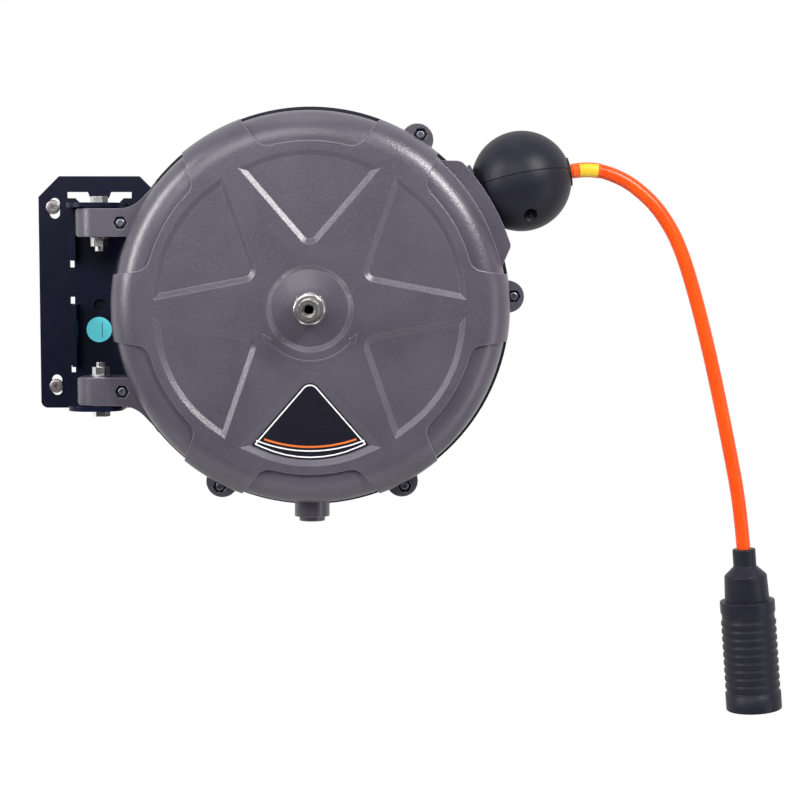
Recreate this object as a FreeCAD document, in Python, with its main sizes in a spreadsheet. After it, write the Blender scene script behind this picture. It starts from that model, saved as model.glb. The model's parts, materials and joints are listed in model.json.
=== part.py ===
"""Wall-mounted hose reel with a spring-driven drum and a swivelling bracket.

Each piece is drawn in a front view of its own: x to the right, y upwards, z towards the
person who faces the wall. A placement then stands it up, so that the wall is the plane
y = 0 of the finished part and +Z is up. All lengths are in millimetres.
"""
import FreeCAD, Part
import math
import operator
import os
import Sketcher

Vector = FreeCAD.Vector
Rotation = FreeCAD.Rotation
Placement = FreeCAD.Placement

doc = FreeCAD.newDocument("HoseReel")
sheet = doc.addObject("Spreadsheet::Sheet", "Sizes")

# Driving dimensions: alias, millimetres or degrees, meaning
DIMENSIONS = [
    ("plate_width", 106, "wall plate, across"),
    ("plate_height", 202, "wall plate, up and down"),
    ("plate_thick", 3, "wall plate, sheet thickness"),
    ("plate_chamfer", 18, "wall plate, cut upper corners"),
    ("plate_corner", 6, "wall plate, rounded lower corners"),
    ("slot_spacing_x", 78, "wall screws, across"),
    ("slot_spacing_y", 154, "wall screws, up and down"),
    ("slot_drop", 3.8, "wall screws, middle below the plate's middle"),
    ("slot_width", 9, "wall screw slot, width"),
    ("slot_length", 18, "wall screw slot, end to end"),
    ("window_half", 28, "window under the plate's top edge, half width"),
    ("window_drop", 13.7, "window's upper edge below the plate's top"),
    ("window_high", 5.3, "window's height at its ends"),
    ("window_dip", 4, "extra depth of the window's middle"),
    ("tongue_half", 10, "tongue in the window, half width"),
    ("relief_width", 4.5, "relief holes beside the flange, width"),
    ("relief_high", 6, "relief holes beside the flange, height"),
    ("sheet_thick", 4, "swivel bracket, sheet thickness"),
    ("bracket_left", 27.3, "bracket's left edge from the pivot axis"),
    ("bracket_right", 19, "bracket's right edge from the pivot axis"),
    ("flange_gap", 38.9, "left flange's upper part, lower end above the housing axis"),
    ("flange_top", 1.2, "left flange's lower part, upper end above the housing axis"),
    ("flange_reach", 52.8, "left flange's lower part, lower end below the housing axis"),
    ("ear_reach", 20, "bracket ears past the pivot axis"),
    ("ear_round", 18, "rounded corners of the ears"),
    ("flange_high", 20, "bracket's left flange, height off the base"),
    ("base_hole", 5.2, "hole in the bracket's base, radius"),
    ("pivot_x", 5.5, "pivot axis right of the plate's middle"),
    ("pivot_out", 46, "pivot axis in front of the wall"),
    ("pivot_beyond", 11.8, "pivot axis beyond the housing's rim"),
    ("housing_drop", 11, "housing axis below the plate's middle"),
    ("knuckle_low", 59.5, "knuckles, inner end from the housing axis"),
    ("knuckle_high", 83.3, "knuckles, outer end from the housing axis"),
    ("knuckle_radius", 20, "knuckles, radius about the pivot axis"),
    ("arm_round", 4, "arm ends, corner radius"),
    ("arm_inner", 29.7, "arms, inner fillet's corner right of the pivot axis"),
    ("arm_fillet", 6, "arms, inner fillet radius"),
    ("arm_meet_inner", 36, "arms, inner edge at the rim, right of the pivot axis"),
    ("arm_neck", 42.8, "arms, inner edge at the rim, off the level of the axis"),
    ("arm_root", 50.5, "arms, inner ends right of the pivot axis"),
    ("arm_top", 105.8, "arms, top of the inner ends, off the level of the axis"),
    ("arm_meet_outer", 46.4, "arms, outer edge at the rim, right of the pivot axis"),
    ("arm_wide", 100, "arms, outer edge at the rim, off the level of the axis"),
    ("arm_outer", 30.6, "arms, outer fillet's corner right of the pivot axis"),
    ("arm_flare", 27, "arms, outer fillet radius"),
    ("knuckle_gap", 1, "gap between knuckle and ear"),
    ("slack", 0.1, "play beside a washer"),
    ("run_clear", 0.05, "radial play of a running fit"),
    ("bolt_radius", 4, "pivot bolt, radius"),
    ("bolt_flats", 13, "pivot bolt and nut, across flats"),
    ("bolt_head", 5.3, "pivot bolt head, height"),
    ("nut_high", 6.5, "pivot nut, height"),
    ("washer_thick", 1.6, "nut washer, thickness"),
    ("washer_radius", 8, "nut washers, outer radius"),
    ("thrust_radius", 12, "thrust washers, outer radius"),
    ("bolt_tail", 4, "pivot bolt thread past its nut"),
    ("bush_radius", 6.5, "pivot bush, outer radius"),
    ("shell_radius", 168.2, "housing, radius"),
    ("front_depth", 48, "front face ahead of the parting plane"),
    ("rear_depth", 38, "rear face behind the parting plane"),
    ("shoulder", 26, "front shell, edge round"),
    ("rear_round", 20, "rear shell, edge round"),
    ("rear_pad", 70, "raised disc on the rear face, radius"),
    ("rear_raise", 1.5, "raised disc and ribs on the rear face, height"),
    ("rear_rib_wide", 4, "ribs on the rear face, width"),
    ("rear_rib_end", 138, "ribs on the rear face, outer end"),
    ("wall", 2.8, "shell wall"),
    ("step", 3, "depth of the scallops"),
    ("scallop_inner", 138.6, "scallops, inner arc radius"),
    ("scallop_half", 40, "scallops, half width at their inner corners"),
    ("scallop_flare", 37, "scallops, lean of their sides in degrees"),
    ("scallop_blend", 15, "scallops, lean of the runs beside the inner arc in degrees"),
    ("scallop_bow", 131.7, "scallops, radius of the inner arc's middle"),
    ("scallop_corner", 13, "scallops, corner radius"),
    ("panel_half", 58.8, "star panels, half width"),
    ("panel_out", 116, "star panels, outer corners from the axis"),
    ("panel_tip", 48, "star panels, sharp inner tip from the axis"),
    ("panel_round", 10, "star panels, inner round"),
    ("panel_lean", 24, "star panels, slope of the outer edge in degrees"),
    ("panel_crown", 112.2, "star panels, outer arc radius"),
    ("panel_bevel", 4.6, "star panels, width of the sloped border"),
    ("panel_depth", 2.3, "star panels, depth"),
    ("panel_over", 0.9, "star panels, how far the sloped border runs on past the face"),
    ("dish_outer", 36.2, "hub dish, outer radius"),
    ("dish_inner", 32.2, "hub dish, inner radius"),
    ("dish_depth", 2.4, "hub dish, depth"),
    ("cone_radius", 14, "hub cone, top radius"),
    ("cone_rise", 0.8, "hub cone's top above the front face"),
    ("screw_beyond", 4.3, "lug screws beyond the rim"),
    ("lug_inset", 5, "lugs' middle nearer the axis than their screws"),
    ("arm_screw_in", 20.1, "arm screws right of the pivot axis"),
    ("arm_screw_up", 71.2, "arm screws off the level of the axis"),
    ("lug_radius", 13.7, "lugs, radius"),
    ("lug_high", 8, "lugs, height from the parting plane"),
    ("pocket_flats", 10.3, "screw pockets, across flats"),
    ("pocket_depth", 3.5, "screw pockets, depth"),
    ("screw_radius", 2, "shell screws, radius"),
    ("head_radius", 3.9, "shell screw heads, radius"),
    ("head_high", 2.6, "shell screw heads, height"),
    ("head_round", 1.5, "shell screw heads, edge round"),
    ("cross_wide", 1, "screws' cross recess, width"),
    ("cross_deep", 1.4, "screws' cross recess, depth"),
    ("small_nut_flats", 7, "shell nuts, across flats"),
    ("small_nut_high", 3.2, "shell nuts, height"),
    ("seal_width", 2.6, "rim seal, depth inside the rim"),
    ("seal_thick", 2.5, "rim seal, thickness"),
    ("seal_proud", 1.2, "rim seal, past the shells"),
    ("shaft_radius", 9, "hub shaft, radius"),
    ("shaft_bore", 4, "hub shaft, air bore radius"),
    ("shaft_inset", 1, "hub shaft's rear end inside the rear face"),
    ("shaft_tip", 8, "hub shaft's thread past the hub cone"),
    ("cross_bore", 3, "hub shaft, cross hole radius"),
    ("recess_radius", 14.9, "recess for the shaft nut, radius"),
    ("hub_boss", 18, "bosses round the shaft, radius"),
    ("nut_flats", 24, "inlet hexagon and shaft nut, across flats"),
    ("inlet_flange", 13.4, "inlet flange, radius"),
    ("inlet_flange_high", 2, "inlet flange, height"),
    ("inlet_hex_high", 16, "inlet hexagon, height"),
    ("inlet_tube", 8.5, "inlet tube, outer radius"),
    ("inlet_tube_long", 17.5, "inlet tube past the hexagon"),
    ("inlet_bore", 5.8, "inlet thread, radius"),
    ("inlet_depth", 14, "inlet thread, depth"),
    ("drum_half", 25, "drum, half the space between flanges"),
    ("flange_thick", 2.5, "drum flanges, thickness"),
    ("flange_off", 15.4, "drum flanges' edge off the shell's wall"),
    ("catch_gap", 0.5, "latch bar to the drum flange's edge, when it locks the drum"),
    ("catch_wide", 9, "latch catches, width"),
    ("catch_root", 6, "latch catches, overlap on the drum flange"),
    ("catch_high", 4.5, "latch catches, height off the drum flange"),
    ("core_radius", 92, "drum core, outer radius"),
    ("core_wall", 3, "drum core, wall"),
    ("bush_wall", 3, "drum bushes, wall"),
    ("drum_gap", 0.3, "drum bushes to the bosses"),
    ("cover_thick", 2, "spring cover, thickness"),
    ("spring_inner", 14, "power spring, inner radius"),
    ("spring_pitch", 6.1, "power spring, growth in a turn"),
    ("spring_thick", 1.2, "power spring, strip thickness"),
    ("swivel_radius", 20, "air swivel block, radius"),
    ("swivel_high", 20, "air swivel block, height"),
    ("ring_inset", 4, "O-ring grooves from the swivel's ends"),
    ("ring_wire", 1.05, "swivel O-rings, section radius"),
    ("barb_radius", 4, "hose tail in the drum, radius"),
    ("tail_start", 14, "hose tail, inner end from the axis"),
    ("tail_bore", 2.4, "hose tail, bore radius"),
    ("barb_level", 12, "hose tail's axis ahead of the spring cover"),
    ("hose_radius", 6, "hose, outer radius"),
    ("turn_pitch", 12.4, "windings, turn to turn"),
    ("layer_pitch", 12.2, "windings, layer to layer"),
    ("winding_gap", 0.3, "windings off the drum core"),
    ("outlet_angle", 29.3, "outlet, direction in degrees"),
    ("outlet_root", 18.8, "outlet block, inner end inside the rim"),
    ("outlet_proud", 7.8, "outlet's bowed face beyond the rim"),
    ("outlet_bow", 10.5, "outlet face, lean of its ends in degrees"),
    ("outlet_high", 45, "outlet face, upper corner above the outlet axis"),
    ("outlet_low", 37.2, "outlet face, lower corner below the outlet axis"),
    ("outlet_spread", 30, "outlet's upper side, lean in degrees"),
    ("outlet_under", 37, "outlet's lower side, lean in degrees"),
    ("outlet_deep", 31, "outlet block, half thickness"),
    ("outlet_round", 10, "outlet block, upper corner radius"),
    ("outlet_corner", 6, "outlet block, lower corner radius"),
    ("throat_deep", 13, "outlet throat, half thickness"),
    ("throat_wall", 4, "outlet throat, wall"),
    ("throat_root", 18.2, "outlet throat, inner end inside the rim"),
    ("throat_room", 5, "outlet throat's well behind its inner end"),
    ("throat_low", 14, "outlet throat below the outlet axis"),
    ("throat_high", 39, "outlet throat above the outlet axis"),
    ("throat_bend_x", 15.2, "hose's bend in the throat, inside the rim along the outlet axis"),
    ("throat_bend_y", 12, "hose's bend in the throat, above the outlet axis"),
    ("roller_bend", 45, "hose's bend in the throat, radius"),
    ("ball_bend", 90, "hose's bend in the ball, radius"),
    ("roller_radius", 7, "guide rollers, radius"),
    ("roller_pin", 2, "guide roller pins, radius"),
    ("boss_radius", 15, "latch boss under the rim, radius"),
    ("boss_drop", 11.3, "latch boss, end below the rim"),
    ("latch_bore", 8.3, "latch bore, radius"),
    ("cap_radius", 11, "latch cap, radius"),
    ("cap_high", 4, "latch cap, height"),
    ("cap_plug", 2, "latch cap's plug in the bore, height"),
    ("stem_radius", 3, "latch stem, radius"),
    ("bar_half", 3, "latch bar, half width"),
    ("notch_half", 3.9, "gap for the bar between the latch catches, half width"),
    ("bar_clear", 1.5, "latch bar to the catches at rest"),
    ("bar_high", 4.5, "latch bar, radial height"),
    ("latch_flange_high", 1.5, "latch stem's flange, height"),
    ("latch_travel", 6, "latch, travel"),
    ("latch_wire", 0.6, "latch spring, wire radius"),
    ("ball_out", 39.9, "ball centre beyond the rim, along the outlet axis"),
    ("ball_up", 5.55, "ball centre above the outlet axis"),
    ("ball_radius", 42.6, "ball stop, radius"),
    ("ball_flat", 40.8, "ball stop, flat at the hose exit"),
    ("ball_seat", 0.4, "ball stop off its seat"),
    ("exit_angle", 11, "hose exit above level, in degrees"),
    ("parting_turn", -8.5, "ball parting plane turned about the hose, in degrees"),
    ("seam_wide", 0.8, "groove along the ball's parting, width"),
    ("seam_deep", 0.6, "groove along the ball's parting, depth"),
    ("ball_screw_side", 25, "ball screws beside the hose"),
    ("ball_screw_level", 18.8, "ball screw heads off the ball's middle"),
    ("ball_entry", 18, "ball's entry cone, radius at its mouth"),
    ("ball_narrow", 6.6, "ball's entry cone, radius at its narrow end"),
    ("ball_ease", 11.4, "round where the entry cone meets the bore, radius"),
    ("ball_pocket", 5.8, "ball screw pockets, radius"),
    ("collar_radius", 12.2, "ball collar, radius"),
    ("collar_proud", 1.2, "ball collar past the flat"),
    ("collar_sunk", 3, "ball collar below the flat"),
    ("band_start", 2, "marker band, start along the hose"),
    ("band_thick", 0.35, "marker band, thickness"),
    ("neck_radius", 9.9, "grip sleeve, neck radius"),
    ("grip_radius", 19.2, "grip sleeve, upper barrel radius"),
    ("grip_collar", 23.1, "grip sleeve, collar radius"),
    ("rib_radius", 23.3, "grip sleeve, rib radius"),
    ("rib_root", 21.3, "grip sleeve, between ribs"),
    ("rib_pitch", 6.9, "grip sleeve, rib to rib"),
    ("rib_slope", 1.38, "grip sleeve, each slope of a rib"),
    ("rib_crest", 2.76, "grip sleeve, flat crest of a rib"),
    ("grip_round", 1, "grip sleeve, rounds of its edges"),
    ("grip_blend", 2, "grip sleeve, rounds of the cone's ends"),
    ("grip_end", 24, "grip sleeve, end radius"),
    ("grip_long", 140.4, "grip sleeve, length"),
    ("grip_bore", 16.5, "grip sleeve, bore radius"),
    ("neck_long", 15, "grip sleeve, neck length"),
    ("cone_end", 22.9, "grip sleeve, end of the cone below the neck"),
    ("collar_low", 45, "grip sleeve, start of the collar"),
    ("collar_high", 55, "grip sleeve, end of the collar"),
    ("rib_start", 61.5, "grip sleeve, start of the ribs"),
    ("tail_run", 28.6, "end of the hose below the sleeve's top"),
    ("ferrule_low", 20, "start of the hose ferrule below the sleeve's top"),
    ("body_end", 135.85, "coupler's mouth below the sleeve's top"),
    ("coupler_flats", 25.3, "coupler body, across flats"),
    ("coupler_stop", 14.6, "coupler's stop ring, radius"),
    ("coupler_feed", 3.2, "coupler's feed bore, radius"),
    ("coupler_seal_deep", 14, "coupler's O-ring from the mouth"),
    ("collar_long", 42.9, "coupler collar, length"),
    ("coupler_radius", 11, "coupler body, radius"),
    ("coupler_bore", 5.2, "coupler socket, radius"),
    ("coupler_depth", 20, "coupler socket, depth"),
    ("coupler_collar_radius", 15.4, "coupler collar, radius"),
]

FULL_TURN = 360

# How far a cutting tool runs past the face it opens
PAST = 1

# A coil's radius clear of the wall beside it, in wire radii
WIRES_CLEAR = 3
SCALLOPS = 6
LUG_ANGLES = (57.5, 3, -62.6, -117.2)
RIBS = 9
LATCH_TURNS = 2
COUPLER_TURNS = 4
LEAD_WRAP = 40
RUN_SHARE = 0.45
SPRING_HALF_TURNS = 23

# The free hose, from the ball's centre in the front view: chosen points, joined by straight runs and arcs
HOSE_ROUTE = [
    (41.23, 8.01), (59.48, 11.56), (87.34, 2.13), (107.44, -13.25), (121.16, -29.08), (134.91, -52.83),
    (148.01, -91.99), (163.63, -151.78), (179.09, -222.59), (191.63, -285.25), (196.3, -344.6),
]


class Size:
    """A number together with the spreadsheet formula that gives it."""

    def __init__(self, value, text):
        self.value = float(value)
        self.text = text

    def __add__(self, other):
        return joined(self, "+", other, operator.add)

    def __radd__(self, other):
        return joined(other, "+", self, operator.add)

    def __sub__(self, other):
        return joined(self, "-", other, operator.sub)

    def __rsub__(self, other):
        return joined(other, "-", self, operator.sub)

    def __mul__(self, other):
        return joined(self, "*", other, operator.mul)

    def __rmul__(self, other):
        return joined(other, "*", self, operator.mul)

    def __truediv__(self, other):
        return joined(self, "/", other, operator.truediv)

    def __rtruediv__(self, other):
        return joined(other, "/", self, operator.truediv)

    def __neg__(self):
        return Size(-self.value, f"(-1 * {self.text})")


def as_size(number):
    """A plain number as a Size."""
    return number if isinstance(number, Size) else Size(number, f"({number!r})")


def joined(first, sign, second, work):
    """Two sizes put together by a sign, in value and in formula."""
    first = as_size(first)
    second = as_size(second)
    return Size(work(first.value, second.value), f"({first.text} {sign} {second.text})")


def sine(degrees):
    degrees = as_size(degrees)
    return Size(math.sin(math.radians(degrees.value)), f"sin({degrees.text})")


def cosine(degrees):
    degrees = as_size(degrees)
    return Size(math.cos(math.radians(degrees.value)), f"cos({degrees.text})")


def tangent(degrees):
    degrees = as_size(degrees)
    return Size(math.tan(math.radians(degrees.value)), f"tan({degrees.text})")


class Dimensions:
    """The driving dimensions, each an alias in the spreadsheet."""


s = Dimensions()
for row, (alias, number, meaning) in enumerate(DIMENSIONS, start=1):
    sheet.set(f"A{row}", meaning)
    sheet.set(f"B{row}", str(number))
    sheet.setAlias(f"B{row}", alias)
    setattr(s, alias, Size(number, f"Sizes.{alias}"))
doc.recompute()


def bind(thing, path, size):
    """Tie one property of thing to a size's formula."""
    if isinstance(size, Size) and "Sizes." in size.text:
        thing.setExpression(path, size.text)


def place(thing, at=(0, 0, 0), turn=Rotation()):
    """Put thing at a point, each coordinate a number or a size."""
    corner = [as_size(number) for number in at]
    thing.Placement = Placement(Vector(*[number.value for number in corner]), turn)
    for axis, number in zip("xyz", corner):
        bind(thing, f"Placement.Base.{axis}", number)
    return thing


def primitive(kind, name, at=(0, 0, 0), turn=Rotation(), **sizes):
    """A Part primitive with its sizes tied to the sheet."""
    thing = doc.addObject(kind, name)
    for prop, size in sizes.items():
        number = as_size(size)
        value = int(number.value) if prop == "Polygon" else number.value
        setattr(thing, prop, value)
        bind(thing, prop, size)
    return place(thing, at, turn)


def rod(name, radius, low, high, x=0, y=0):
    """A cylinder along z from low to high."""
    return primitive("Part::Cylinder", name, (x, y, low), Radius=radius, Height=high - low)


def block(name, x, y, z):
    """A box between pairs of limits."""
    corner = (x[0], y[0], z[0])
    spans = {"Length": x[1] - x[0], "Width": y[1] - y[0], "Height": z[1] - z[0]}
    return primitive("Part::Box", name, corner, **spans)


def hexagon(name, flats, low, high, x=0, y=0):
    """A hexagonal prism along z with flats above and below."""
    across = as_size(flats) / math.sqrt(3)
    return primitive("Part::Prism", name, (x, y, low), Polygon=6, Circumradius=across, Height=high - low)


def bundle(name, things, at=(0, 0, 0), turn=Rotation()):
    """Several objects as one compound, which can be placed again."""
    thing = doc.addObject("Part::Compound", name)
    thing.Links = list(things)
    return place(thing, at, turn)


def turned(name, thing, degrees):
    """A copy of thing turned about z."""
    copy = bundle(name, [thing])
    angle = as_size(degrees)
    copy.Placement = Placement(Vector(), Rotation(Vector(0, 0, 1), angle.value))
    bind(copy, "Placement.Rotation.Angle", degrees)
    return copy


def ring_of(name, thing, angles):
    """Copies of thing turned about z to each of the angles."""
    return bundle(name, [turned(f"{name}_{number}", thing, angle) for number, angle in enumerate(angles)])


def fused(name, *things):
    thing = doc.addObject("Part::MultiFuse", name)
    thing.Shapes = list(things)
    return thing


def cut(name, base, *tools):
    thing = doc.addObject("Part::Cut", name)
    thing.Base = base
    thing.Tool = tools[0] if len(tools) == 1 else bundle(f"{name}_tools", tools)
    return thing


def common(name, first, second):
    thing = doc.addObject("Part::Common", name)
    thing.Base = first
    thing.Tool = second
    return thing


def turning(before, corner, after):
    """How far an outline goes along each side of a rounded corner, and which way it turns."""
    arriving = math.atan2(corner[1] - before[1], corner[0] - before[0])
    leaving = math.atan2(after[1] - corner[1], after[0] - corner[0])
    return arriving, leaving, math.remainder(leaving - arriving, math.tau)


def draw_outline(sketch, corners):
    """A closed outline; each corner is (x, y), or (x, y, radius) where it is rounded."""
    plain = [(as_size(c[0]).value, as_size(c[1]).value) for c in corners]
    count = len(corners)
    entries = []
    exits = []
    arcs = []
    for number, corner in enumerate(corners):
        here = plain[number]
        if len(corner) == 2:
            entries.append(here)
            exits.append(here)
            arcs.append(None)
            continue
        radius = as_size(corner[2]).value
        arriving, leaving, bend = turning(plain[number - 1], here, plain[(number + 1) % count])
        back = radius * math.tan(abs(bend) / 2)
        start = (here[0] - back * math.cos(arriving), here[1] - back * math.sin(arriving))
        end = (here[0] + back * math.cos(leaving), here[1] + back * math.sin(leaving))
        side = math.copysign(math.pi / 2, bend)
        centre_x = start[0] + radius * math.cos(arriving + side)
        centre_y = start[1] + radius * math.sin(arriving + side)
        circle = Part.Circle(Vector(centre_x, centre_y, 0), Vector(0, 0, 1), radius)
        first = arriving - side
        last = leaving - side
        angles = (first, last) if bend > 0 else (last, first)
        entries.append(start)
        exits.append(end)
        arcs.append((sketch.addGeometry(Part.ArcOfCircle(circle, *angles)), bend > 0, corner[2]))
    lines = []
    for number in range(count):
        start = Vector(*exits[number], 0)
        end = Vector(*entries[(number + 1) % count], 0)
        lines.append(sketch.addGeometry(Part.LineSegment(start, end)))
    for number, corner in enumerate(corners):
        before = lines[number - 1]
        after = lines[number]
        if arcs[number] is None:
            sketch.addConstraint(Sketcher.Constraint("Coincident", before, 2, after, 1))
            point = (after, 1)
        else:
            arc, left, radius = arcs[number]
            entry, leave = (1, 2) if left else (2, 1)
            sketch.addConstraint(Sketcher.Constraint("Tangent", before, 2, arc, entry))
            sketch.addConstraint(Sketcher.Constraint("Tangent", arc, leave, after, 1))
            index = sketch.addConstraint(Sketcher.Constraint("Radius", arc, as_size(radius).value))
            bind(sketch, f"Constraints[{index}]", radius)
            mark = sketch.addGeometry(Part.Point(Vector(*plain[number], 0)), True)
            sketch.addConstraint(Sketcher.Constraint("PointOnObject", mark, 1, before))
            sketch.addConstraint(Sketcher.Constraint("PointOnObject", mark, 1, after))
            point = (mark, 1)
        fix_point(sketch, point, corner[0], corner[1])


def fix_point(sketch, point, x, y):
    """Hold a point of a sketch at two sizes."""
    for kind, size in (("DistanceX", x), ("DistanceY", y)):
        index = sketch.addConstraint(Sketcher.Constraint(kind, -1, 1, *point, as_size(size).value))
        bind(sketch, f"Constraints[{index}]", size)


def draw_circle(sketch, x, y, radius):
    centre = Vector(as_size(x).value, as_size(y).value, 0)
    circle = sketch.addGeometry(Part.Circle(centre, Vector(0, 0, 1), as_size(radius).value))
    fix_point(sketch, (circle, 3), x, y)
    index = sketch.addConstraint(Sketcher.Constraint("Radius", circle, as_size(radius).value))
    bind(sketch, f"Constraints[{index}]", radius)


def draw_slot(sketch, x, y, width, length):
    """An upright slot with round ends."""
    radius = as_size(width) / 2
    reach = (as_size(length) - width) / 2
    centres = [as_size(y) + reach, as_size(y) - reach]
    ends = []
    for centre, start in zip(centres, (0, math.pi)):
        middle = Vector(as_size(x).value, centre.value, 0)
        circle = Part.Circle(middle, Vector(0, 0, 1), radius.value)
        arc = sketch.addGeometry(Part.ArcOfCircle(circle, start, start + math.pi))
        fix_point(sketch, (arc, 3), x, centre)
        ends.append(arc)
    for arc in ends:
        index = sketch.addConstraint(Sketcher.Constraint("Radius", arc, radius.value))
        bind(sketch, f"Constraints[{index}]", radius)
    top, bottom = ends
    for upper, lower, side in ((2, 1, -1), (1, 2, 1)):
        edge = as_size(x).value + side * radius.value
        high = Vector(edge, centres[0].value, 0)
        low = Vector(edge, centres[1].value, 0)
        line = sketch.addGeometry(Part.LineSegment(high, low))
        sketch.addConstraint(Sketcher.Constraint("Tangent", top, upper, line, 1))
        sketch.addConstraint(Sketcher.Constraint("Tangent", line, 2, bottom, lower))


def new_sketch(name, body, role, base=0):
    """A sketch on one of the body's own planes, lifted by base."""
    plane = [item for item in body.Origin.OriginFeatures if item.Role == role][0]
    sketch = body.newObject("Sketcher::SketchObject", f"{name}_sketch")
    sketch.AttachmentSupport = [(plane, "")]
    sketch.MapMode = "FlatFace"
    sketch.AttachmentOffset = Placement(Vector(0, 0, as_size(base).value), Rotation())
    bind(sketch, "AttachmentOffset.Base.z", base)
    return sketch


def revolved(name, corners):
    """A body turned about z from corners (radius, z) or (radius, z, round)."""
    body = doc.addObject("PartDesign::Body", name)
    sketch = new_sketch(name, body, "XZ_Plane")
    draw_outline(sketch, corners)
    feature = body.newObject("PartDesign::Revolution", f"{name}_turn")
    feature.Profile = sketch
    feature.ReferenceAxis = (sketch, ["V_Axis"])
    feature.Angle = FULL_TURN
    return body


def tube(name, inner, outer, low, high):
    return revolved(name, [(inner, low), (outer, low), (outer, high), (inner, high)])


def extruded(name, corners, low, high, circles=(), slots=()):
    """A body pushed along z from an outline, with round holes and slots in it."""
    body = doc.addObject("PartDesign::Body", name)
    sketch = new_sketch(name, body, "XY_Plane", low)
    draw_outline(sketch, corners)
    for circle in circles:
        draw_circle(sketch, *circle)
    for slot in slots:
        draw_slot(sketch, *slot)
    feature = body.newObject("PartDesign::Pad", f"{name}_pad")
    feature.Profile = sketch
    height = as_size(high) - low
    feature.Length = height.value
    bind(feature, "Length", height)
    return body


def polar(radius, degrees):
    """A point on a circle about the origin."""
    return radius * cosine(degrees), radius * sine(degrees)


ALONG_Y = Rotation(Vector(1, 0, 0), -90)
DOWN_Y = Rotation(Vector(1, 0, 0), 90)
STAND_UP = Rotation(Vector(1, 0, 0), 90)
WALL = (0, 0, 0)
pivot_reach = s.shell_radius + s.pivot_beyond
HOUSING = (s.pivot_x + pivot_reach, -s.pivot_out, -s.housing_drop)

pieces = {}


def piece(label, frame, *things):
    """Name a finished piece and stand it up in the part's frame."""
    thing = bundle(f"{label}_piece", things)
    thing.Label = label
    pieces[label] = place(thing, frame, STAND_UP)
    return thing


def solid(name, shape):
    """A plain feature for a shape that sketches and primitives don't give."""
    thing = doc.addObject("Part::Feature", name)
    thing.Shape = shape
    return thing


# Wall plate
plate_right = s.plate_width / 2
plate_top = s.plate_height / 2
plate_outline = [
    (-plate_right, -plate_top, s.plate_corner),
    (plate_right, -plate_top, s.plate_corner),
    (plate_right, plate_top - s.plate_chamfer),
    (plate_right - s.plate_chamfer, plate_top),
    (s.plate_chamfer - plate_right, plate_top),
    (-plate_right, plate_top - s.plate_chamfer),
]
wall_slots = [
    (side * s.slot_spacing_x / 2, up * s.slot_spacing_y / 2 - s.slot_drop, s.slot_width, s.slot_length)
    for side in (-1, 1)
    for up in (-1, 1)
]
window_top = plate_top - s.window_drop
window_low = window_top - s.window_high
dip_half = s.window_half - s.window_drop / 2
window = extruded("window", [
    (-s.window_half, window_top),
    (-s.window_half, window_low),
    (-dip_half, window_low),
    (s.window_dip - dip_half, window_low - s.window_dip),
    (dip_half - s.window_dip, window_low - s.window_dip),
    (dip_half, window_low),
    (s.window_half, window_low),
    (s.window_half, window_top),
    (s.tongue_half, window_top),
    (s.tongue_half - s.window_dip / 2, window_low),
    (s.window_dip / 2 - s.tongue_half, window_low),
    (-s.tongue_half, window_top),
], -PAST, s.plate_thick + PAST)
flange_left = s.pivot_x - s.bracket_left
ear_inner = s.knuckle_high + s.knuckle_gap
flange_spans = [
    (-s.housing_drop + s.flange_gap, -s.housing_drop + ear_inner),
    (-s.housing_drop - s.flange_reach, -s.housing_drop + s.flange_top),
]
relief_ends = [
    flange_spans[0][0] - s.relief_high,
    flange_spans[1][1],
    flange_spans[1][0] - s.relief_high,
]
reliefs = [
    block(f"relief_{number}", (flange_left - s.relief_width, flange_left),
          (low, low + s.relief_high), (-PAST, s.plate_thick + PAST))
    for number, low in enumerate(relief_ends)
]
plate_blank = extruded("plate_blank", plate_outline, 0, s.plate_thick, slots=wall_slots)
piece("wall_plate", WALL, cut("plate_cut", plate_blank, window, *reliefs))

# Swivel bracket: a folded channel, spot-welded to the plate
bracket_low = s.plate_thick
bracket_face = s.plate_thick + s.sheet_thick
flange_right = s.pivot_x + s.bracket_right
ear_outer = ear_inner + s.sheet_thick
base_span = (-s.housing_drop - ear_outer, -s.housing_drop + ear_outer)
bracket_base = extruded("bracket_base", [
    (flange_left, base_span[0]),
    (flange_right, base_span[0]),
    (flange_right, base_span[1]),
    (flange_left, base_span[1]),
], bracket_low, bracket_face, circles=[(0, -s.housing_drop, s.base_hole)])
ear_front = s.pivot_out + s.ear_reach
ears = []
for end, level in (("upper", base_span[1]), ("lower", -s.housing_drop - ear_inner)):
    ear = extruded(f"{end}_ear", [
        (flange_left, bracket_low),
        (flange_right, bracket_low),
        (flange_right, ear_front, s.ear_round),
        (flange_left, ear_front, s.ear_round),
    ], 0, s.sheet_thick, circles=[(s.pivot_x, s.pivot_out, s.bolt_radius + s.slack)])
    ears.append(place(ear, (0, level, 0), DOWN_Y))
flanges = [
    block(f"flange_{number}", (flange_left, flange_left + s.sheet_thick), span,
          (bracket_low, bracket_face + s.flange_high))
    for number, span in enumerate(flange_spans)
]
piece("swivel_bracket", WALL, fused("bracket", bracket_base, *ears, *flanges))

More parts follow.
